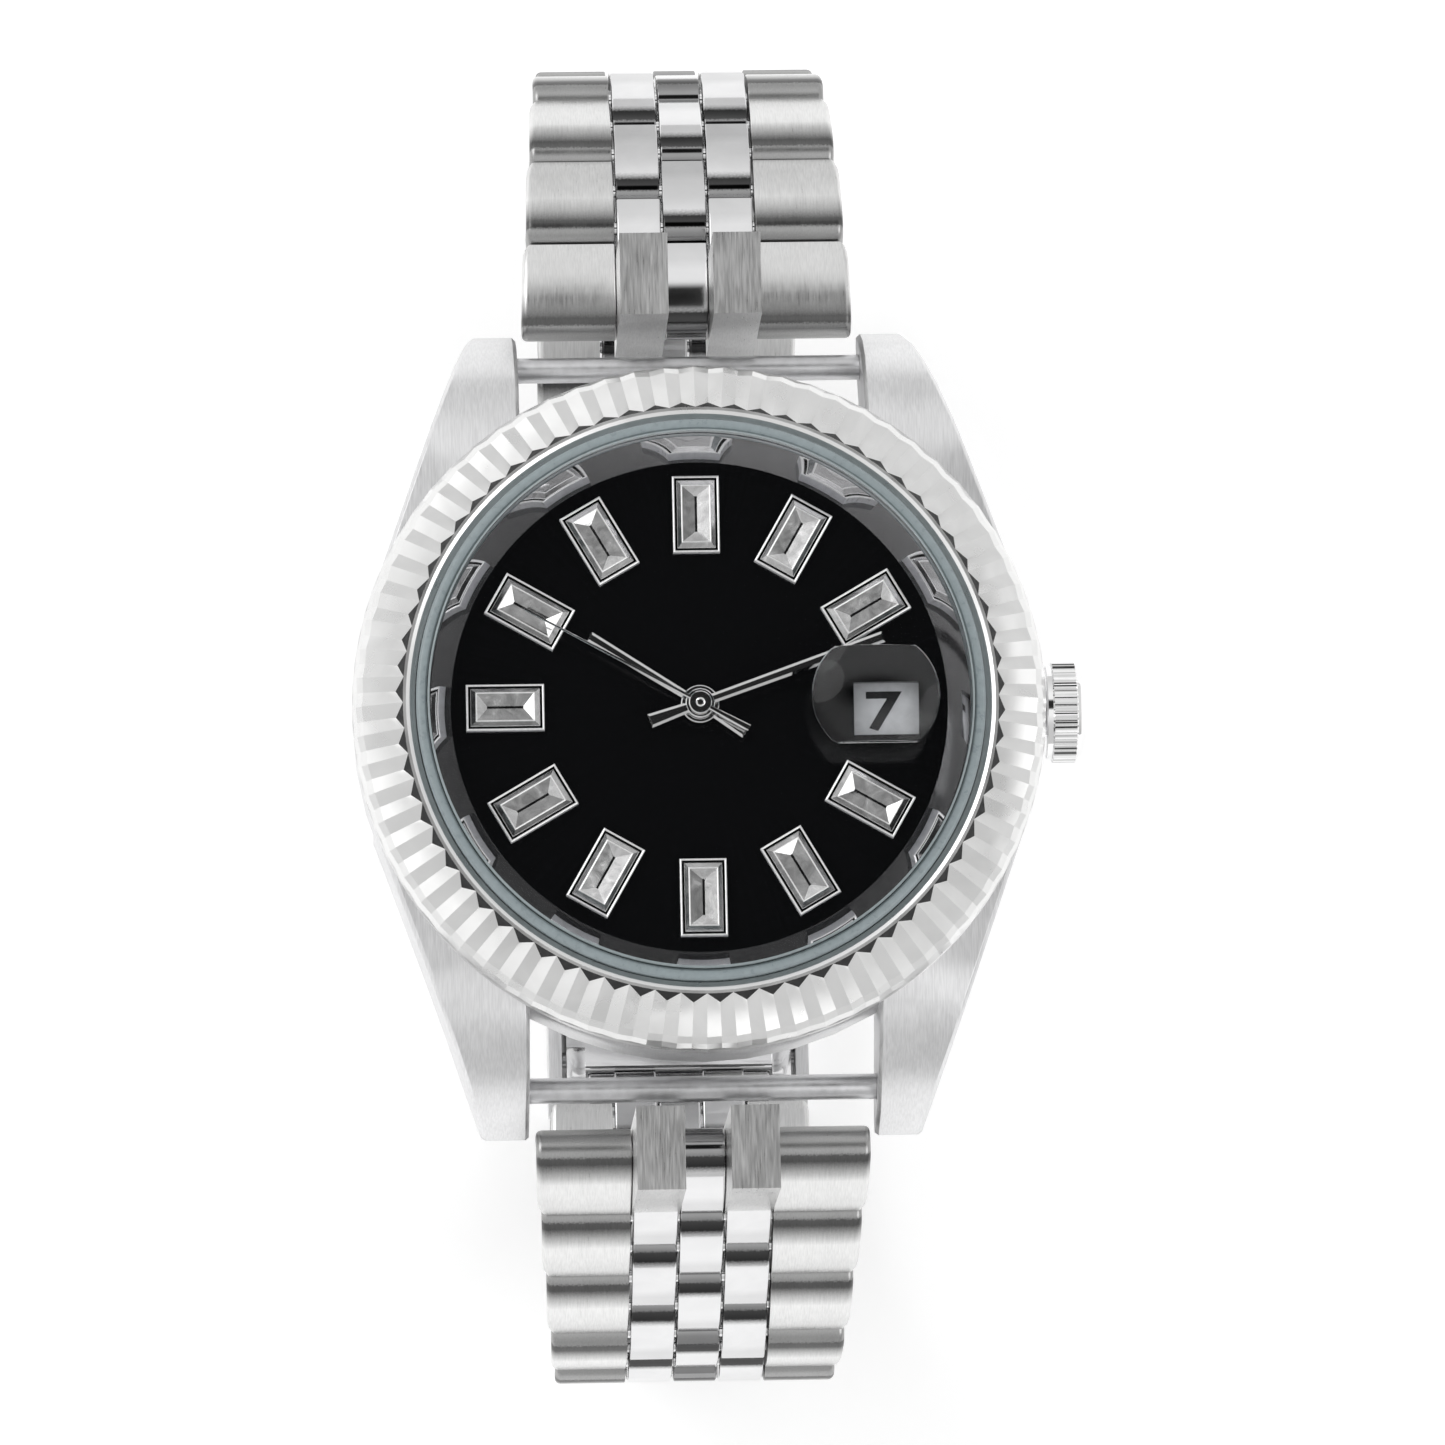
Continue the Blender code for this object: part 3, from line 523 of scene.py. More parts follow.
def refined(node, look, width=0.08, segments=2):
    """A copy of a CAD node's solid with its flat faces made whole and its sharp edges rounded."""
    bm = bmesh.new()
    bm.from_mesh(NODES[node].data)
    bmesh.ops.scale(bm, vec=(1 / MM, 1 / MM, 1 / MM), verts=bm.verts)
    bmesh.ops.remove_doubles(bm, verts=bm.verts, dist=1e-4)
    bmesh.ops.dissolve_limit(bm, angle_limit=radians(1), verts=bm.verts, edges=bm.edges)
    edges = [edge for edge in bm.edges if edge.is_manifold and edge.calc_face_angle(0) > radians(28)]
    settings = {"segments": segments, "affect": "EDGES", "clamp_overlap": True, "profile": 0.6}
    bmesh.ops.bevel(bm, geom=edges, offset=width, **settings)
    return store(node + "_finish", bm, look, NODES[node]["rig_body"], (node,), sharp=28)


# ---------------------------------------------------------------- head: bezel, crystal, gasket, rehaut


def fluted_bezel():
    """Smooth inner rim, and V-shaped flutes that end in steep walls against it; the steep walls are
    near-black as painted shade.
    """
    low, high = head_box("bezel")
    edge = high.x
    rim_top = high.z
    ridge = [(RIM_RADIUS, rim_top), (17.7, 2.2), (18.3, 1.89), (18.9, 1.58), (19.45, 1.29), (19.8, 0.9)]
    ridge += [(edge, 0.3)]
    valley = [(RIM_RADIUS + FLUTE_END_RUN, rim_top - FLUTE_END_DEPTH), (17.85, 1.66), (18.3, 1.50)]
    valley += [(18.85, 1.27), (19.38, 1.03), (19.72, 0.7), (edge - 0.06, 0.22)]
    bm = bmesh.new()

    def spot(radius, z, step):
        turn = pi * step / FLUTES
        return bm.verts.new((radius * cos(turn), radius * sin(turn), z))

    steps = range(2 * FLUTES)
    ridges = [[spot(*point, step) for point in (ridge if step % 2 == 0 else valley)] for step in steps]
    rim_mid = [spot(RIM_RADIUS, rim_top, step) if step % 2 else ridges[step][0] for step in steps]
    inner = [(16.93, rim_top - 0.01), (16.72, rim_top - 0.10), (16.55, rim_top - 0.28), (low_inner(), 2.12)]
    inner += [(low_inner(), 0.02), (17.95, 0.02), (17.95, low.z), (edge - 0.12, low.z), (edge, low.z + 0.12)]
    inner += [(edge, 0.08)]
    rings = [[spot(*point, step) for point in inner] for step in steps]

    def side(first, second, index):
        return bm.faces.new((first[index], first[index + 1], second[index + 1], second[index]))

    for step in steps:
        after = (step + 1) % len(steps)
        for index in range(len(ridge) - 1):
            side(ridges[step], ridges[after], index)
        first, second = (step, after) if step % 2 else (after, step)
        wall = bm.faces.new((rim_mid[first], rim_mid[second], ridges[first][0]))
        # The steep flute-end walls get the near-black matt material: painted shade on steel.
        wall.material_index = 1
        bm.faces.new((rim_mid[step], rim_mid[after], rings[after][0], rings[step][0]))
        for index in range(len(inner) - 1):
            side(rings[step], rings[after], index)
        bm.faces.new((rings[step][-1], rings[after][-1], ridges[after][-1], ridges[step][-1]))
    bmesh.ops.translate(bm, vec=(0, 0, DIAL_TOP), verts=bm.verts)
    store("fluted_bezel", bm, ["bezel", "flute_wall_painted_shade"], "head", ("bezel",), sharp=11)


def low_inner():
    """Radius of the bezel's bore."""
    points = [vertex.co / MM for vertex in NODES["bezel"].data.vertices]
    return min(hypot(point.x, point.y) for point in points)


def crystal_parts():
    """Crystal with a frosted edge, the pale seal round it, and the sloped mirror ring below."""
    low, high = head_box("crystal")
    edge = high.x
    top = high.z
    profile = [(0, low.z), (edge - 0.1, low.z), (edge, low.z + 0.1), (edge, top - 0.12), (edge - 0.12, top)]
    profile += [(0, top)]
    bm = bmesh.new()
    add_lathe(bm, profile, lift=DIAL_TOP, materials=[0, 0, 1, 1, 0, 0])
    store("crystal_glass", bm, ["crystal", "edge"], "head", ("crystal",), sharp=20)

    low, high = head_box("crystal_gasket")
    seal_low = edge + 0.05
    profile = [(seal_low, low.z), (high.x, low.z), (high.x, high.z - 0.15), (high.x - 0.08, high.z - 0.05)]
    profile += [(high.x - 0.2, high.z), (seal_low + 0.1, high.z), (seal_low, high.z - 0.08)]
    bm = bmesh.new()
    add_lathe(bm, profile, lift=DIAL_TOP)
    store("crystal_seal", bm, "seal", "head", ("crystal_gasket",))

    low, high = head_box("rehaut_ring")
    slope = [(14.33, low.z), (14.9, 0.95), (15.5, high.z)]
    profile = slope + [(15.7, high.z), (15.7, 1.0), (high.x, 1.0), (high.x, low.z)]
    bm = bmesh.new()
    add_lathe(bm, profile, steps=180, lift=DIAL_TOP)
    store("rehaut_mirror", bm, "rehaut", "head", ("rehaut_ring",), sharp=35)


def magnifier():
    """Date lens: a dome with two flat sides."""
    low, high = head_box("date_magnifier")
    middle = (low.x + high.x) / 2
    radius = (high.x - low.x) / 2
    flat = high.y
    rise = high.z - low.z
    sagitta = rise - LENS_RIM
    ball = (radius * radius + sagitta * sagitta) / (2 * sagitta)
    bm = bmesh.new()
    outline = []
    corner = asin(flat / radius)
    for side in (1, -1):
        for index in range(25):
            turn = -corner + 2 * corner * index / 24
            outline.append((side * radius * cos(turn), side * radius * sin(turn)))
        for index in range(1, 12):
            reach = radius * cos(corner)
            outline.append((side * reach * (1 - 2 * index / 12), side * flat))
    rings = [[(middle + x, y, low.z) for x, y in outline]]
    for share in (1.0, 0.985, 0.96, 0.9, 0.8, 0.7, 0.6, 0.5, 0.4, 0.3, 0.2, 0.1, 0.02):
        ring = []
        for x, y in outline:
            away = hypot(x, y) * share
            z = low.z + LENS_RIM + sqrt(ball * ball - away * away) - (ball - sagitta)
            if share == 1.0:
                z -= 0.06
            ring.append((middle + x * share, y * share, z))
        rings.append(ring)
    add_loft(bm, rings)
    bmesh.ops.translate(bm, vec=(0, 0, DIAL_TOP), verts=bm.verts)
    store("date_lens", bm, "lens", "head", ("date_magnifier",), sharp=30)


# ---------------------------------------------------------------- dial, markers, hands, date


def dial_face():
    """Lacquered disc with a date window."""
    low, high = head_box("dial")
    profile = [(1.0, low.z), (high.x, low.z), (high.x, -0.03), (high.x - 0.03, 0), (1.0, 0)]
    bm = bmesh.new()
    add_lathe(bm, profile, lift=DIAL_TOP)
    dial = store("dial_face", bm, "dial", "head", ("dial",), sharp=25)
    near, far = DATE_WINDOW
    cut_boxes(dial, [((*near, DIAL_TOP - 1.5), (*far, DIAL_TOP + 1.5))])


def rectangle(width, height, z):
    """Corners of a flat rectangle about the origin."""
    return [(-width / 2, -height / 2, z), (width / 2, -height / 2, z), (width / 2, height / 2, z),
            (-width / 2, height / 2, z)]


def add_rings(bm, rings, turn, looks):
    """One marker part from stacked rectangles. looks gives (long side, short side) material by step."""
    start = len(bm.verts)
    faces = add_loft(bm, rings)
    for index, face in enumerate(faces[:-2]):
        face.material_index = looks[index // 4][0 if index % 2 else 1]
    faces[-2].material_index = looks[0][0]
    faces[-1].material_index = looks[-1][0]
    bm.verts.ensure_lookup_table()
    move_marker(bm, bm.verts[start:], turn)


def add_frame(bm, turn):
    """One marker's raised metal rim with a recessed black floor; its outer wall is painted pale as painted
    light.
    """
    wide, tall = MARKER_SIZE
    edge = 2 * FRAME_WIDTH
    steps = [(0, -0.05), (0, 0.42), (0.04, 0.44), (FRAME_WIDTH, 0.458), (edge - 0.03, 0.44), (edge, 0.41)]
    steps += [(edge, 0.04)]
    rings = [rectangle(wide - less, tall - less, z) for less, z in steps]
    add_rings(bm, rings, turn, [(2, 2)] + [(0, 0)] * 4 + [(1, 1)] * 2)


def add_stone(bm, turn):
    """One step-cut stone: grey outer step, a bright steel table edge as a painted highlight, and a keel
    between hip facets in a brighter copy of the stone as painted highlights.
    """
    wide = MARKER_SIZE[0] - 2 * (FRAME_WIDTH + STONE_GAP)
    tall = MARKER_SIZE[1] - 2 * (FRAME_WIDTH + STONE_GAP)
    steps = [(0, 0, 0.06), (0, 0, 0.42), (0.06, 0.06, 0.46), (0.48, 0.58, 0.64), (0.56, 0.66, 0.66)]
    steps += [(0.65, 0.75, 0.64), (wide - 0.14, 1.9, 0.44)]
    rings = [rectangle(wide - narrower, tall - shorter, z) for narrower, shorter, z in steps]
    # The short-side facets take the brighter copy and the rims take bright steel: painted highlights.
    add_rings(bm, rings, turn, [(0, 0), (2, 2), (0, 1), (2, 2), (2, 2), (0, 1), (0, 0)])


def move_marker(bm, verts, turn):
    """Takes a marker made at the origin out to its hour."""
    place = Matrix.Rotation(-turn, 4, "Z") @ Matrix.Translation((0, MARKER_CENTRE, DIAL_TOP))
    bmesh.ops.transform(bm, matrix=place, verts=verts)


def hour_markers():
    """Frames and stones at every hour but three."""
    frames = ("marker_frames", ("trim", "dial", "pale"), add_frame)
    stones = ("marker_stones", ("stone", "stone_painted_bright_end", "trim"), add_stone)
    for name, looks, add in (frames, stones):
        bm = bmesh.new()
        for hour in range(12):
            if hour != 3:
                add(bm, hour * pi / 6)
        store(name, bm, looks, "head", sharp=8)


def add_baton(bm, stations, low, high, edge):
    """Hand blade along +Y from (y, width) stations, blunt at both ends, with bevelled top edges."""
    rings = []
    last = len(stations) - 1
    for index, (y, width) in enumerate(stations):
        half = width / 2
        rim = min(edge, half * 0.75)
        shift = edge * 0.6 if index == 0 else -edge * 0.6 if index == last else 0
        top = (high - low) * 0.45 + low
        ring = [(-half, y, low), (half, y, low), (half, y, top), (half - rim, y + shift, high)]
        rings.append(ring + [(-half + rim, y + shift, high), (-half, y, top)])
    add_loft(bm, rings)


def hand(name, node, body, stations, edge, hub_radius, bore, extra=()):
    """A bevelled baton hand with a stepped hub, turned to where the CAD hand points."""
    sheet_low, sheet_high = HAND_SHEETS[node]
    bm = bmesh.new()
    add_baton(bm, stations, sheet_low, sheet_high, edge)
    top = sheet_high + 0.02
    hub = [(bore, sheet_low - 0.02), (hub_radius, sheet_low - 0.02), (hub_radius, top - 0.05)]
    hub += [(hub_radius - 0.06, top), (bore + 0.1, top), (bore, top - 0.04)]
    add_lathe(bm, hub, steps=64)
    for profile in extra:
        add_lathe(bm, profile, steps=48)
    bmesh.ops.rotate(bm, cent=(0, 0, 0), matrix=Matrix.Rotation(hand_turn(node), 3, "Z"), verts=bm.verts)
    bmesh.ops.translate(bm, vec=(0, 0, DIAL_TOP), verts=bm.verts)
    store(name, bm, "hands", body, (node,), sharp=20)


def hand_turn(node):
    """Angle from +Y to the far tip of a CAD hand."""
    points = [vertex.co for vertex in NODES[node].data.vertices]
    tip = max(points, key=lambda point: hypot(point.x, point.y))
    return atan2(tip.y, tip.x) - pi / 2


def hands():
    """The three hands, from (y, width) stations."""
    pipe = [(0.58, -0.85), (0.88, -0.85), (0.88, 0.66), (0.58, 0.66)]
    hour = [(-3.1, 0.78), (0, 0.44), (7.48, 0.62)]
    hand("hour_hand_steel", "hour_hand", "hour", hour, 0.15, 1.1, 0.58, [pipe])
    minute = [(-3.1, 0.83), (0, 0.54), (11.28, 0.66)]
    hand("minute_hand_steel", "minute_hand", "minute", minute, 0.15, 0.85, 0.53)
    second = [(-3.2, 0.38), (0, 0.22), (11.5, 0.10)]
    hand("seconds_hand_steel", "seconds_hand", "seconds", second, 0.06, 0.67, 0.17)


def date_ring():
    """Printed disc with the numerals 1 to 31, the seventh in the window."""
    low, high = head_box("date_disc")
    inner = min(hypot(v.co.x, v.co.y) for v in NODES["date_disc"].data.vertices) / MM
    profile = [(inner, low.z), (high.x, low.z), (high.x, high.z - 0.04), (high.x - 0.05, high.z)]
    profile += [(inner + 0.05, high.z), (inner, high.z - 0.04)]
    bm = bmesh.new()
    add_lathe(bm, profile, lift=DIAL_TOP)
    store("date_ring", bm, "disc", "date", ("date_disc",))
    bm = bmesh.new()
    for number in range(1, 32):
        text = bpy.data.curves.new("numeral", "FONT")
        text.body = str(number)
        text.size = NUMERAL_SIZE * MM
        text.align_x = "CENTER"
        text.align_y = "CENTER"
        text.extrude = NUMERAL_RELIEF * MM
        text.offset = NUMERAL_WEIGHT * MM
        text.resolution_u = 4
        item = bpy.data.objects.new("numeral", text)
        bpy.context.scene.collection.objects.link(item)
        bpy.context.view_layer.update()
        mesh = bpy.data.meshes.new_from_object(item.evaluated_get(bpy.context.evaluated_depsgraph_get()))
        squeeze = 0.62 if number > 9 else 1.15
        turn = Matrix.Rotation(-(number - 7) * 2 * pi / 31, 4, "Z")
        slide = Matrix.Translation((NUMERAL_RADIUS * MM, 0, (DIAL_TOP + high.z + 0.012) * MM))
        mesh.transform(turn @ slide @ Matrix.Diagonal((squeeze, NUMERAL_HEIGHT, 1, 1)))
        bm.from_mesh(mesh)
        bpy.data.objects.remove(item, do_unlink=True)
    bmesh.ops.scale(bm, vec=(1 / MM, 1 / MM, 1 / MM), verts=bm.verts)
    store("date_numerals", bm, "ink", "date")


# ---------------------------------------------------------------- crown


def crown():
    """Knurled crown with a domed, stepped cap."""
    low, high = low_high("crown")
    axis = JOINTS["crown"]["pos_m"]
    height = axis[2] / MM
    radius = (high.z - low.z) / 2
    bm = bmesh.new()
    profile = [(1.45, 0.9), (1.45, 0.02), (2.62, 0.02), (2.72, 0.1), (2.72, 0.38), (radius, 0.46)]
    profile += [(radius, 1.76), (2.72, 1.84), (2.62, 2.0), (2.3, 2.2), (1.8, 2.34), (1.1, 2.42), (0.0, 2.45)]
    profile += [(0.0, 0.9)]

    def knurl(reach, turn):
        if reach < radius - 0.01:
            return reach
        share = (turn * CROWN_TEETH / (2 * pi)) % 1.0
        wave = min(max(abs(share - 0.5) * 4 - 0.5, 0), 1)
        return reach - KNURL_DEPTH * wave

    add_lathe(bm, profile, steps=CROWN_TEETH * 6, shape=knurl)
    turn = Matrix.Translation((low.x, 0, height)) @ Matrix.Rotation(pi / 2, 4, "Y")
    bmesh.ops.transform(bm, matrix=turn, verts=bm.verts)
    store("crown_steel", bm, "hands", "crown", ("crown",), sharp=24)


# ---------------------------------------------------------------- bracelet


def link_profile(pitch, end_round=False):
    """Side of a link as (along, out) points: round start, crest, falling top, end wrapped round the next."""
    points = arc((0, 0), LINK_RADIUS, 270, 100, 14)
    points += [(0.25, 1.345), (0.7, 1.405), (1.2, LINK_RADIUS + LINK_CROWN), (1.8, 1.395), (2.5, 1.31)]
    points += [(3.2, 1.19), (3.8, 1.06)]
    hollow = LINK_RADIUS + LINK_CLEARANCE
    if end_round:
        points += arc((pitch, 0), hollow, 140, 160, 3)
        points += arc((pitch / 2, 0), LINK_RADIUS, -13, -90, 6)
    else:
        points += arc((pitch, 0), hollow, 140, 230, 8)
        points += [(3.9, -LINK_RADIUS)]
    return points


def side_width(taper, share):
    """Half width of an outer column: nearly straight, then curved in at its end."""
    end = min(taper[1], taper[0] - 0.12)
    drop = taper[0] - end
    if share < 0.7:
        return taper[0] - 0.25 * drop * share / 0.7
    return taper[0] - 0.25 * drop - 0.75 * drop * ((share - 0.7) / 0.3) ** 2


def add_column(bm, outline, low, high, edges, taper=None, material=0):
    """One link column across x, with rounded side edges. taper narrows the high side along the link."""
    stations = [(low + away, depth) for away, depth in rounding(edges[0], 3)]
    stations += [(low + edges[0] + 0.04, 0), (high - edges[1] - 0.04, 0)]
    stations += [(high - away, depth) for away, depth in rounding(edges[1], 4)[::-1]]
    longest = max(point[0] for point in outline)
    rings = []
    for x, depth in stations:
        ring = []
        for (along, _), moved in zip(outline, inset(outline, [depth] * len(outline))):
            reach = x
            if taper:
                width = side_width(taper, min(max(along / longest, 0), 1))
                reach = low + (x - low) * (width - low) / (high - low)
            ring.append((reach, moved[0], moved[1]))
        rings.append(ring)
    add_loft(bm, rings, material=material)


def mirror_copy(bm, start):
    """Copies everything from vertex start on to the other side of x = 0."""
    bm.verts.ensure_lookup_table()
    verts = bm.verts[start:]
    faces = [face for face in bm.faces if all(vert.index >= start for vert in face.verts)]
    made = bmesh.ops.duplicate(bm, geom=list(verts) + faces)
    copies = [item for item in made["geom"] if isinstance(item, bmesh.types.BMVert)]
    bmesh.ops.scale(bm, vec=(-1, 1, 1), verts=copies)


def circle(along, radius, count):
    """Outline of a round pin whose centre is that far along the row."""
    turns = [2 * pi * index / count for index in range(count)]
    return [(along + radius * cos(turn), radius * sin(turn)) for turn in turns]


def add_pair(bm, *column):
    """A column on +X and its mirror image."""
    start = len(bm.verts)
    add_column(bm, *column)
    bm.verts.index_update()
    mirror_copy(bm, start)


def row_place(side, pivot, slope):
    """World matrix of a row frame: x across, y along the row, z out of the bracelet."""
    turn = Matrix.Rotation(0 if side > 0 else pi, 4, "Z") @ Matrix.Rotation(-slope, 4, "X")
    return Matrix.Translation((0, pivot[0] * MM, pivot[1] * MM)) @ turn


def bracelet_row(label, side, index, pivot, after, widths, is_last):
    """Outer links, centre link and mid links of one row."""
    along = Vector(after) - Vector(pivot)
    pitch = along.length
    slope = atan2(-along.y, side * along.x)
    place = row_place(side, pivot, slope)
    node = f"row_{label}_{index:02d}"
    profile = link_profile(pitch)
    outer = bmesh.new()
    add_pair(outer, profile, OUTER_INNER, widths[0], OUTER_EDGES, widths)
    store(node + "_outer", outer, "links", node, (node,), sharp=38, place=place)
    inner = bmesh.new()
    add_column(inner, profile, -CENTRE_HALF, CENTRE_HALF, INNER_EDGES, None, 1)
    middle = link_profile(pitch, end_round=True)
    if is_last:
        middle = arc((0, 0), LINK_RADIUS, 270, 90, 14) + arc((pitch / 2, 0), LINK_RADIUS, 90, -90, 12)
    shifted = [(x + pitch / 2, z) for x, z in middle]
    add_pair(inner, shifted, MID_INNER, MID_OUTER, INNER_EDGES, None, 2)
    reach = OUTER_INNER + PIN_OVERLAP
    for y in (0.0, pitch / 2):
        add_column(inner, circle(y, PIN_RADIUS, 16), -reach, reach, PIN_EDGES)
    if is_last:
        reach = low_high("clasp_spring_bar")[1].x - BARREL_INSET if side > 0 else BARREL_HALF_6
        add_column(inner, circle(pitch, BARREL_RADIUS, 24), -reach, reach, BARREL_EDGES)
    looks = ["polished", "centre", "mids"]
    store(node + "_inner", inner, looks, node, sharp=38, place=place)


def bracelet_side(label, side):
    """Every row of one side, from its hinges."""
    count = sum(1 for body in JOINTS if body.startswith(f"row_{label}_"))
    pivots = []
    for index in range(1, count + 1):
        spot = JOINTS[f"row_{label}_{index:02d}"]["pos_m"]
        pivots.append((spot[1] / MM, spot[2] / MM))
    if side > 0:
        low, high = low_high("clasp_spring_bar")
        last = ((low.y + high.y) / 2, (low.z + high.z) / 2)
    else:
        spot = JOINTS["inner_blade"]["pos_m"]
        last = (spot[1] / MM, spot[2] / MM)
    pivots.append(last)
    halves = [low_high(f"row_{label}_{index:02d}")[1].x for index in range(1, count + 1)]
    halves.append(halves[-1])
    for index in range(count):
        widths = (halves[index], halves[index + 1])
        is_last = index == count - 1
        bracelet_row(label, side, index + 1, pivots[index], pivots[index + 1], widths, is_last)


def cut_boxes(item, boxes):
    """Cuts boxes, each given by two corners in millimetres, out of a piece."""
    bm = bmesh.new()
    for low, high in boxes:
        made = bmesh.ops.create_cube(bm, size=1)["verts"]
        bmesh.ops.scale(bm, vec=[b - a for a, b in zip(low, high)], verts=made)
        bmesh.ops.translate(bm, vec=[(a + b) / 2 for a, b in zip(low, high)], verts=made)
    bmesh.ops.scale(bm, vec=(MM, MM, MM), verts=bm.verts)
    mesh = bpy.data.meshes.new("cutter")
    bm.to_mesh(mesh)
    bm.free()
    cutter = bpy.data.objects.new("cutter", mesh)
    bpy.context.scene.collection.objects.link(cutter)
    step = item.modifiers.new("cut", "BOOLEAN")
    step.operation = "DIFFERENCE"
    step.object = cutter
    graph = bpy.context.evaluated_depsgraph_get()
    result = bpy.data.meshes.new_from_object(item.evaluated_get(graph))
    item.modifiers.clear()
    item.data = result
    bpy.data.objects.remove(cutter, do_unlink=True)


def end_link_parts(label, side):
    """Brushed end link with notches, and the two polished half links at its end."""
    body = refined("end_link_" + label, "end_link", width=0.10)
    notches = []
    inner, outer = MID_INNER - NOTCH_MARGIN, MID_OUTER + NOTCH_MARGIN
    near, far = sorted((side * NOTCH_START, side * NOTCH_END))
    for low, high in ((inner, outer), (-outer, -inner)):
        notches.append(((low, near, DIAL_TOP - 12), (high, far, DIAL_TOP)))
    cut_boxes(body, notches)
    pivot = Vector(JOINTS[f"row_{label}_01"]["pos_m"]) / MM
    reach, height = abs(pivot.y), pivot.z - DIAL_TOP
    start = NOTCH_START + NOTCH_MARGIN
    outline = [(start, height - 1.1), (start, height + 2.45), (start + 0.15, height + 2.65)]
    outline += arc((reach, height), LINK_RADIUS, 58, -90, 14)
    bm = bmesh.new()
    add_pair(bm, outline, MID_INNER, MID_OUTER, INNER_EDGES)
    bmesh.ops.translate(bm, vec=(0, 0, DIAL_TOP), verts=bm.verts)
    if side < 0:
        bmesh.ops.rotate(bm, cent=(0, 0, 0), matrix=Matrix.Rotation(pi, 3, "Z"), verts=bm.verts)
    store("half_links_" + label, bm, "polished", "head", sharp=38)


# ---------------------------------------------------------------- everything else on the frame


def dress_inner_nodes():
    """Gives each CAD node that stays visible its material."""
    looks = {"mainplate": "brass", "barrel": "brass", "centre_wheel": "brass", "third_wheel": "brass"}
    looks |= {"fourth_wheel": "hands", "escape_wheel": "brass", "balance_wheel": "brass"}
    looks |= {"caseback_gasket": "rubber", "pallet_fork": "polished", "rotor_bearing": "polished"}
    for name, item in NODES.items():
        if item.hide_render:
            continue
        material = MATERIALS[looks.get(name, "satin")]
        for slot in item.material_slots:
            slot.material = material


# ---------------------------------------------------------------- stage, light and camera


def floor():
    """Pale floor just under the clasp, faintly lit from within to stay white."""
    bm = bmesh.new()
    bmesh.ops.create_grid(bm, x_segments=1, y_segments=1, size=FLOOR_SIZE)
    bmesh.ops.scale(bm, vec=(MM, MM, MM), verts=bm.verts)
    mesh = bpy.data.meshes.new("floor")
    bm.to_mesh(mesh)
    bm.free()
    item = bpy.data.objects.new("floor", mesh)
    item.location = (0, 0, CAD_BOX[0].z - FLOOR_DROP)
    sockets = {"Emission Color": (1, 1, 1, 1), "Emission Strength": FLOOR_GLOW}
    material, _, _ = new_material("pale_floor", (0.93, 0.93, 0.93), 0.0, 0.8, sockets)
    mesh.materials.append(material)
    bpy.context.scene.collection.objects.link(item)


def surroundings():
    """White studio, a little darker on the right, with one dark bar overhead that runs across X."""
    world = bpy.data.worlds.new("studio")
    bpy.context.scene.world = world
    world.use_nodes = True
    tree = world.node_tree
    place = tree.nodes.new("ShaderNodeTexCoord").outputs["Generated"]
    flat = tree.nodes.new("ShaderNodeVectorMath")
    flat.operation = "MULTIPLY"
    flat.inputs[1].default_value = CARD_SQUEEZE
    away = tree.nodes.new("ShaderNodeVectorMath")
    away.operation = "DISTANCE"
    away.inputs[1].default_value = CARD_CENTRE
    side = tree.nodes.new("ShaderNodeVectorMath")
    side.operation = "DOT_PRODUCT"
    side.inputs[1].default_value = DIM_SIDE
    mix = tree.nodes.new("ShaderNodeMix")
    mix.data_type = "RGBA"
    mix.blend_type = "MULTIPLY"
    mix.inputs["Factor"].default_value = 1.0
    background = tree.nodes["Background"]
    tree.links.new(place, flat.inputs[0])
    tree.links.new(flat.outputs["Vector"], away.inputs[0])
    tree.links.new(place, side.inputs[0])
    tree.links.new(ramp(tree, away.outputs["Value"], CARD_STOPS), mix.inputs["A"])
    tree.links.new(ramp(tree, side.outputs["Value"], DIM_STOPS), mix.inputs["B"])
    tree.links.new(mix.outputs["Result"], background.inputs["Color"])
    background.inputs["Strength"].default_value = 1.0


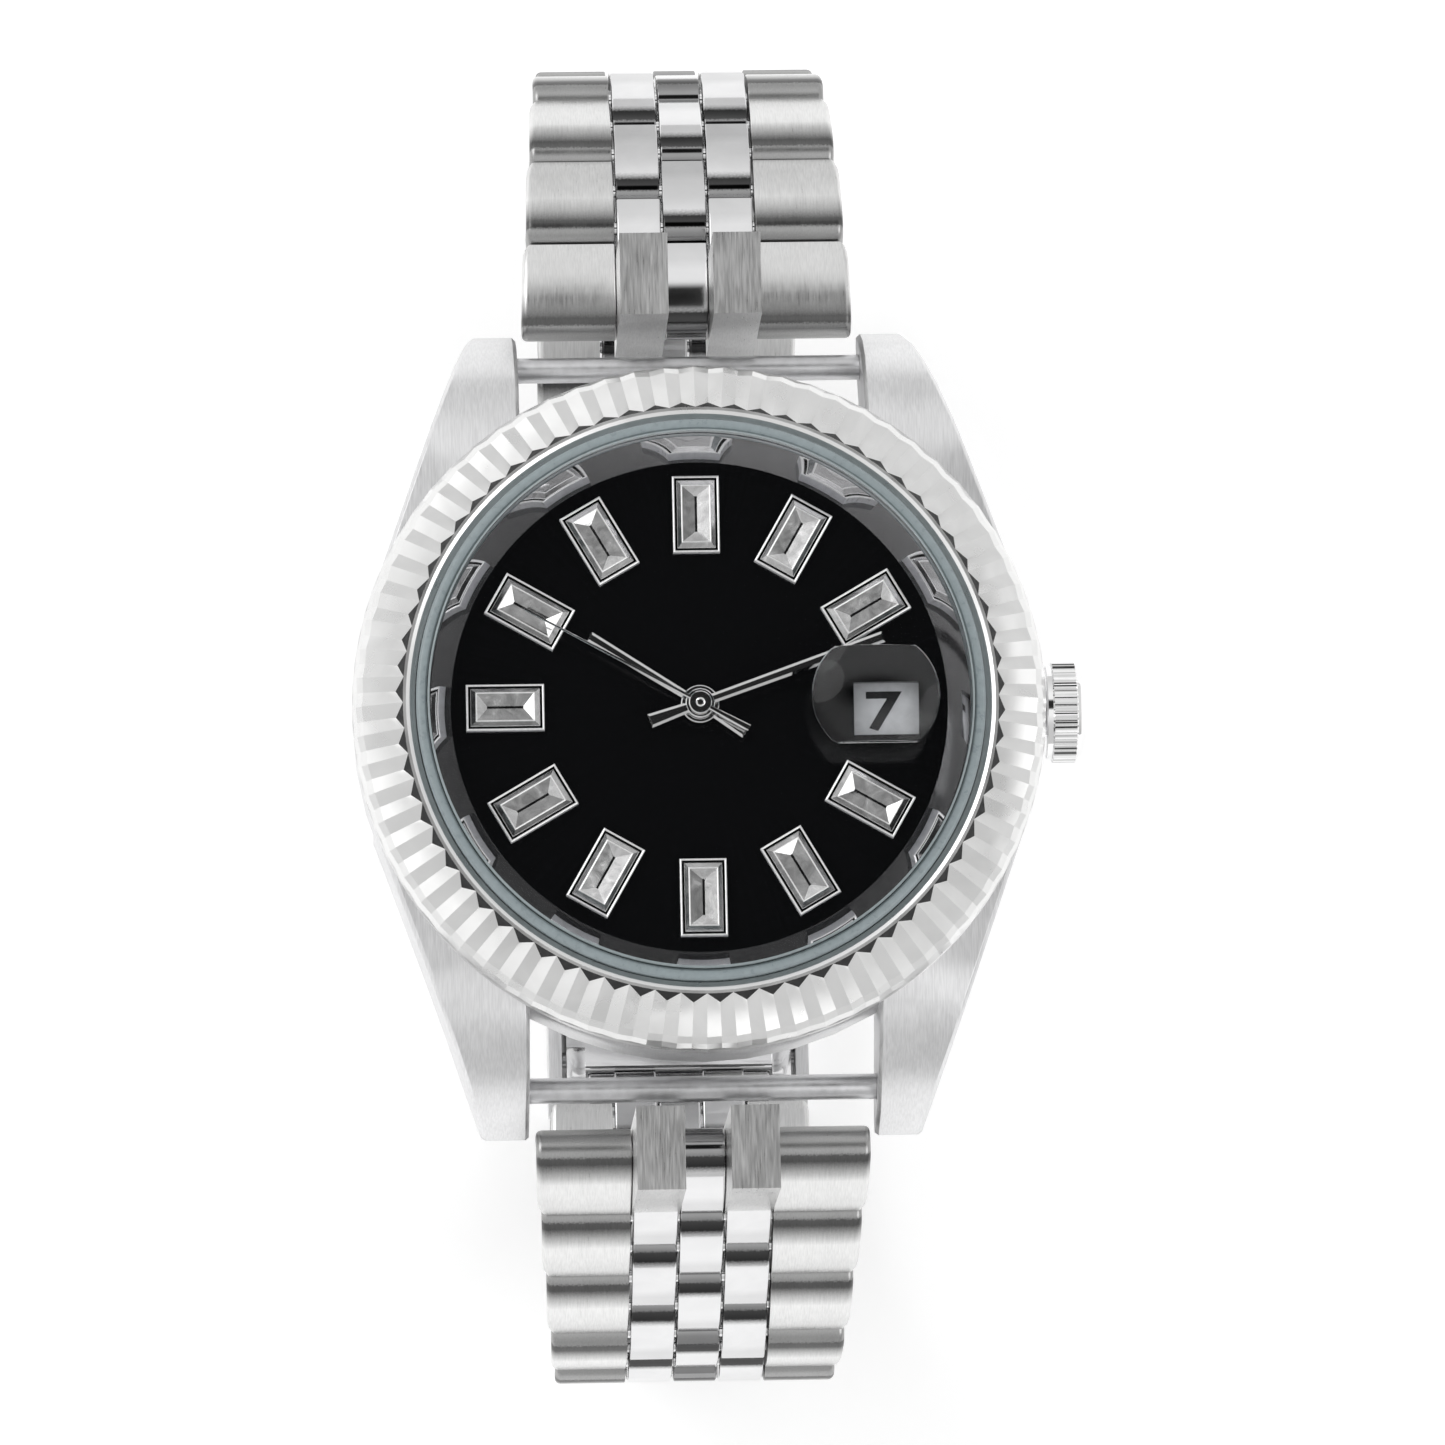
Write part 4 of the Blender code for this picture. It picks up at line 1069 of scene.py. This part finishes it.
def area(name, place):
    """A soft round light aimed at the watch."""
    light = bpy.data.lights.new(name, "AREA")
    light.shape = "DISK"
    light.size = LIGHT_SIZE
    light.energy = LIGHT_POWER
    item = bpy.data.objects.new(name, light)
    item.location = place
    item.rotation_mode = "QUATERNION"
    item.rotation_quaternion = (Vector(LIGHT_TARGET) - Vector(place)).to_track_quat("-Z", "Y")
    bpy.context.scene.collection.objects.link(item)


def camera():
    """A long lens that looks down on the dial."""
    data = bpy.data.cameras.new("camera")
    data.sensor_width = 36
    data.lens = CAMERA_LENS
    item = bpy.data.objects.new("camera", data)
    bpy.context.scene.collection.objects.link(item)
    aim = Vector((*CAMERA_AIM, DIAL_TOP)) * MM
    back = Vector((-sin(radians(CAMERA_TILT[0])), -sin(radians(CAMERA_TILT[1])), 0))
    back.z = sqrt(1 - back.x ** 2 - back.y ** 2)
    right = Vector((0, 1, 0)).cross(back).normalized()
    turn = Matrix((right, back.cross(right), back)).transposed()
    turn = turn @ Matrix.Rotation(radians(CAMERA_ROLL), 3, "Z")
    item.rotation_mode = "QUATERNION"
    item.rotation_quaternion = turn.to_quaternion()
    item.location = aim + back * CAMERA_DISTANCE
    data.clip_start = 0.02
    data.clip_end = 10
    bpy.context.scene.camera = item


camera()
floor()
surroundings()
area("key", (-0.6, 0.35, 0.75))
area("fill", (0.6, -0.35, 0.75))
bpy.context.scene.view_settings.view_transform = "Standard"

fluted_bezel()
crystal_parts()
magnifier()
dial_face()
hour_markers()
hands()
date_ring()
crown()
refined("mid_case", "case", width=0.12)
refined("caseback", "case", width=0.1)
refined("crown_tube", "satin", width=0.05)
end_link_parts("12", 1)
end_link_parts("6", -1)
bracelet_side("12", 1)
bracelet_side("6", -1)
refined("clasp_cover", "case", width=0.2, segments=3)
refined("clasp_outer_blade", "polished")
refined("clasp_inner_blade", "polished")
for pin in ("clasp_cover_pin", "clasp_fold_pin", "clasp_spring_bar", "spring_bar_12", "spring_bar_6"):
    refined(pin, "satin", width=0.06)
dress_inner_nodes()
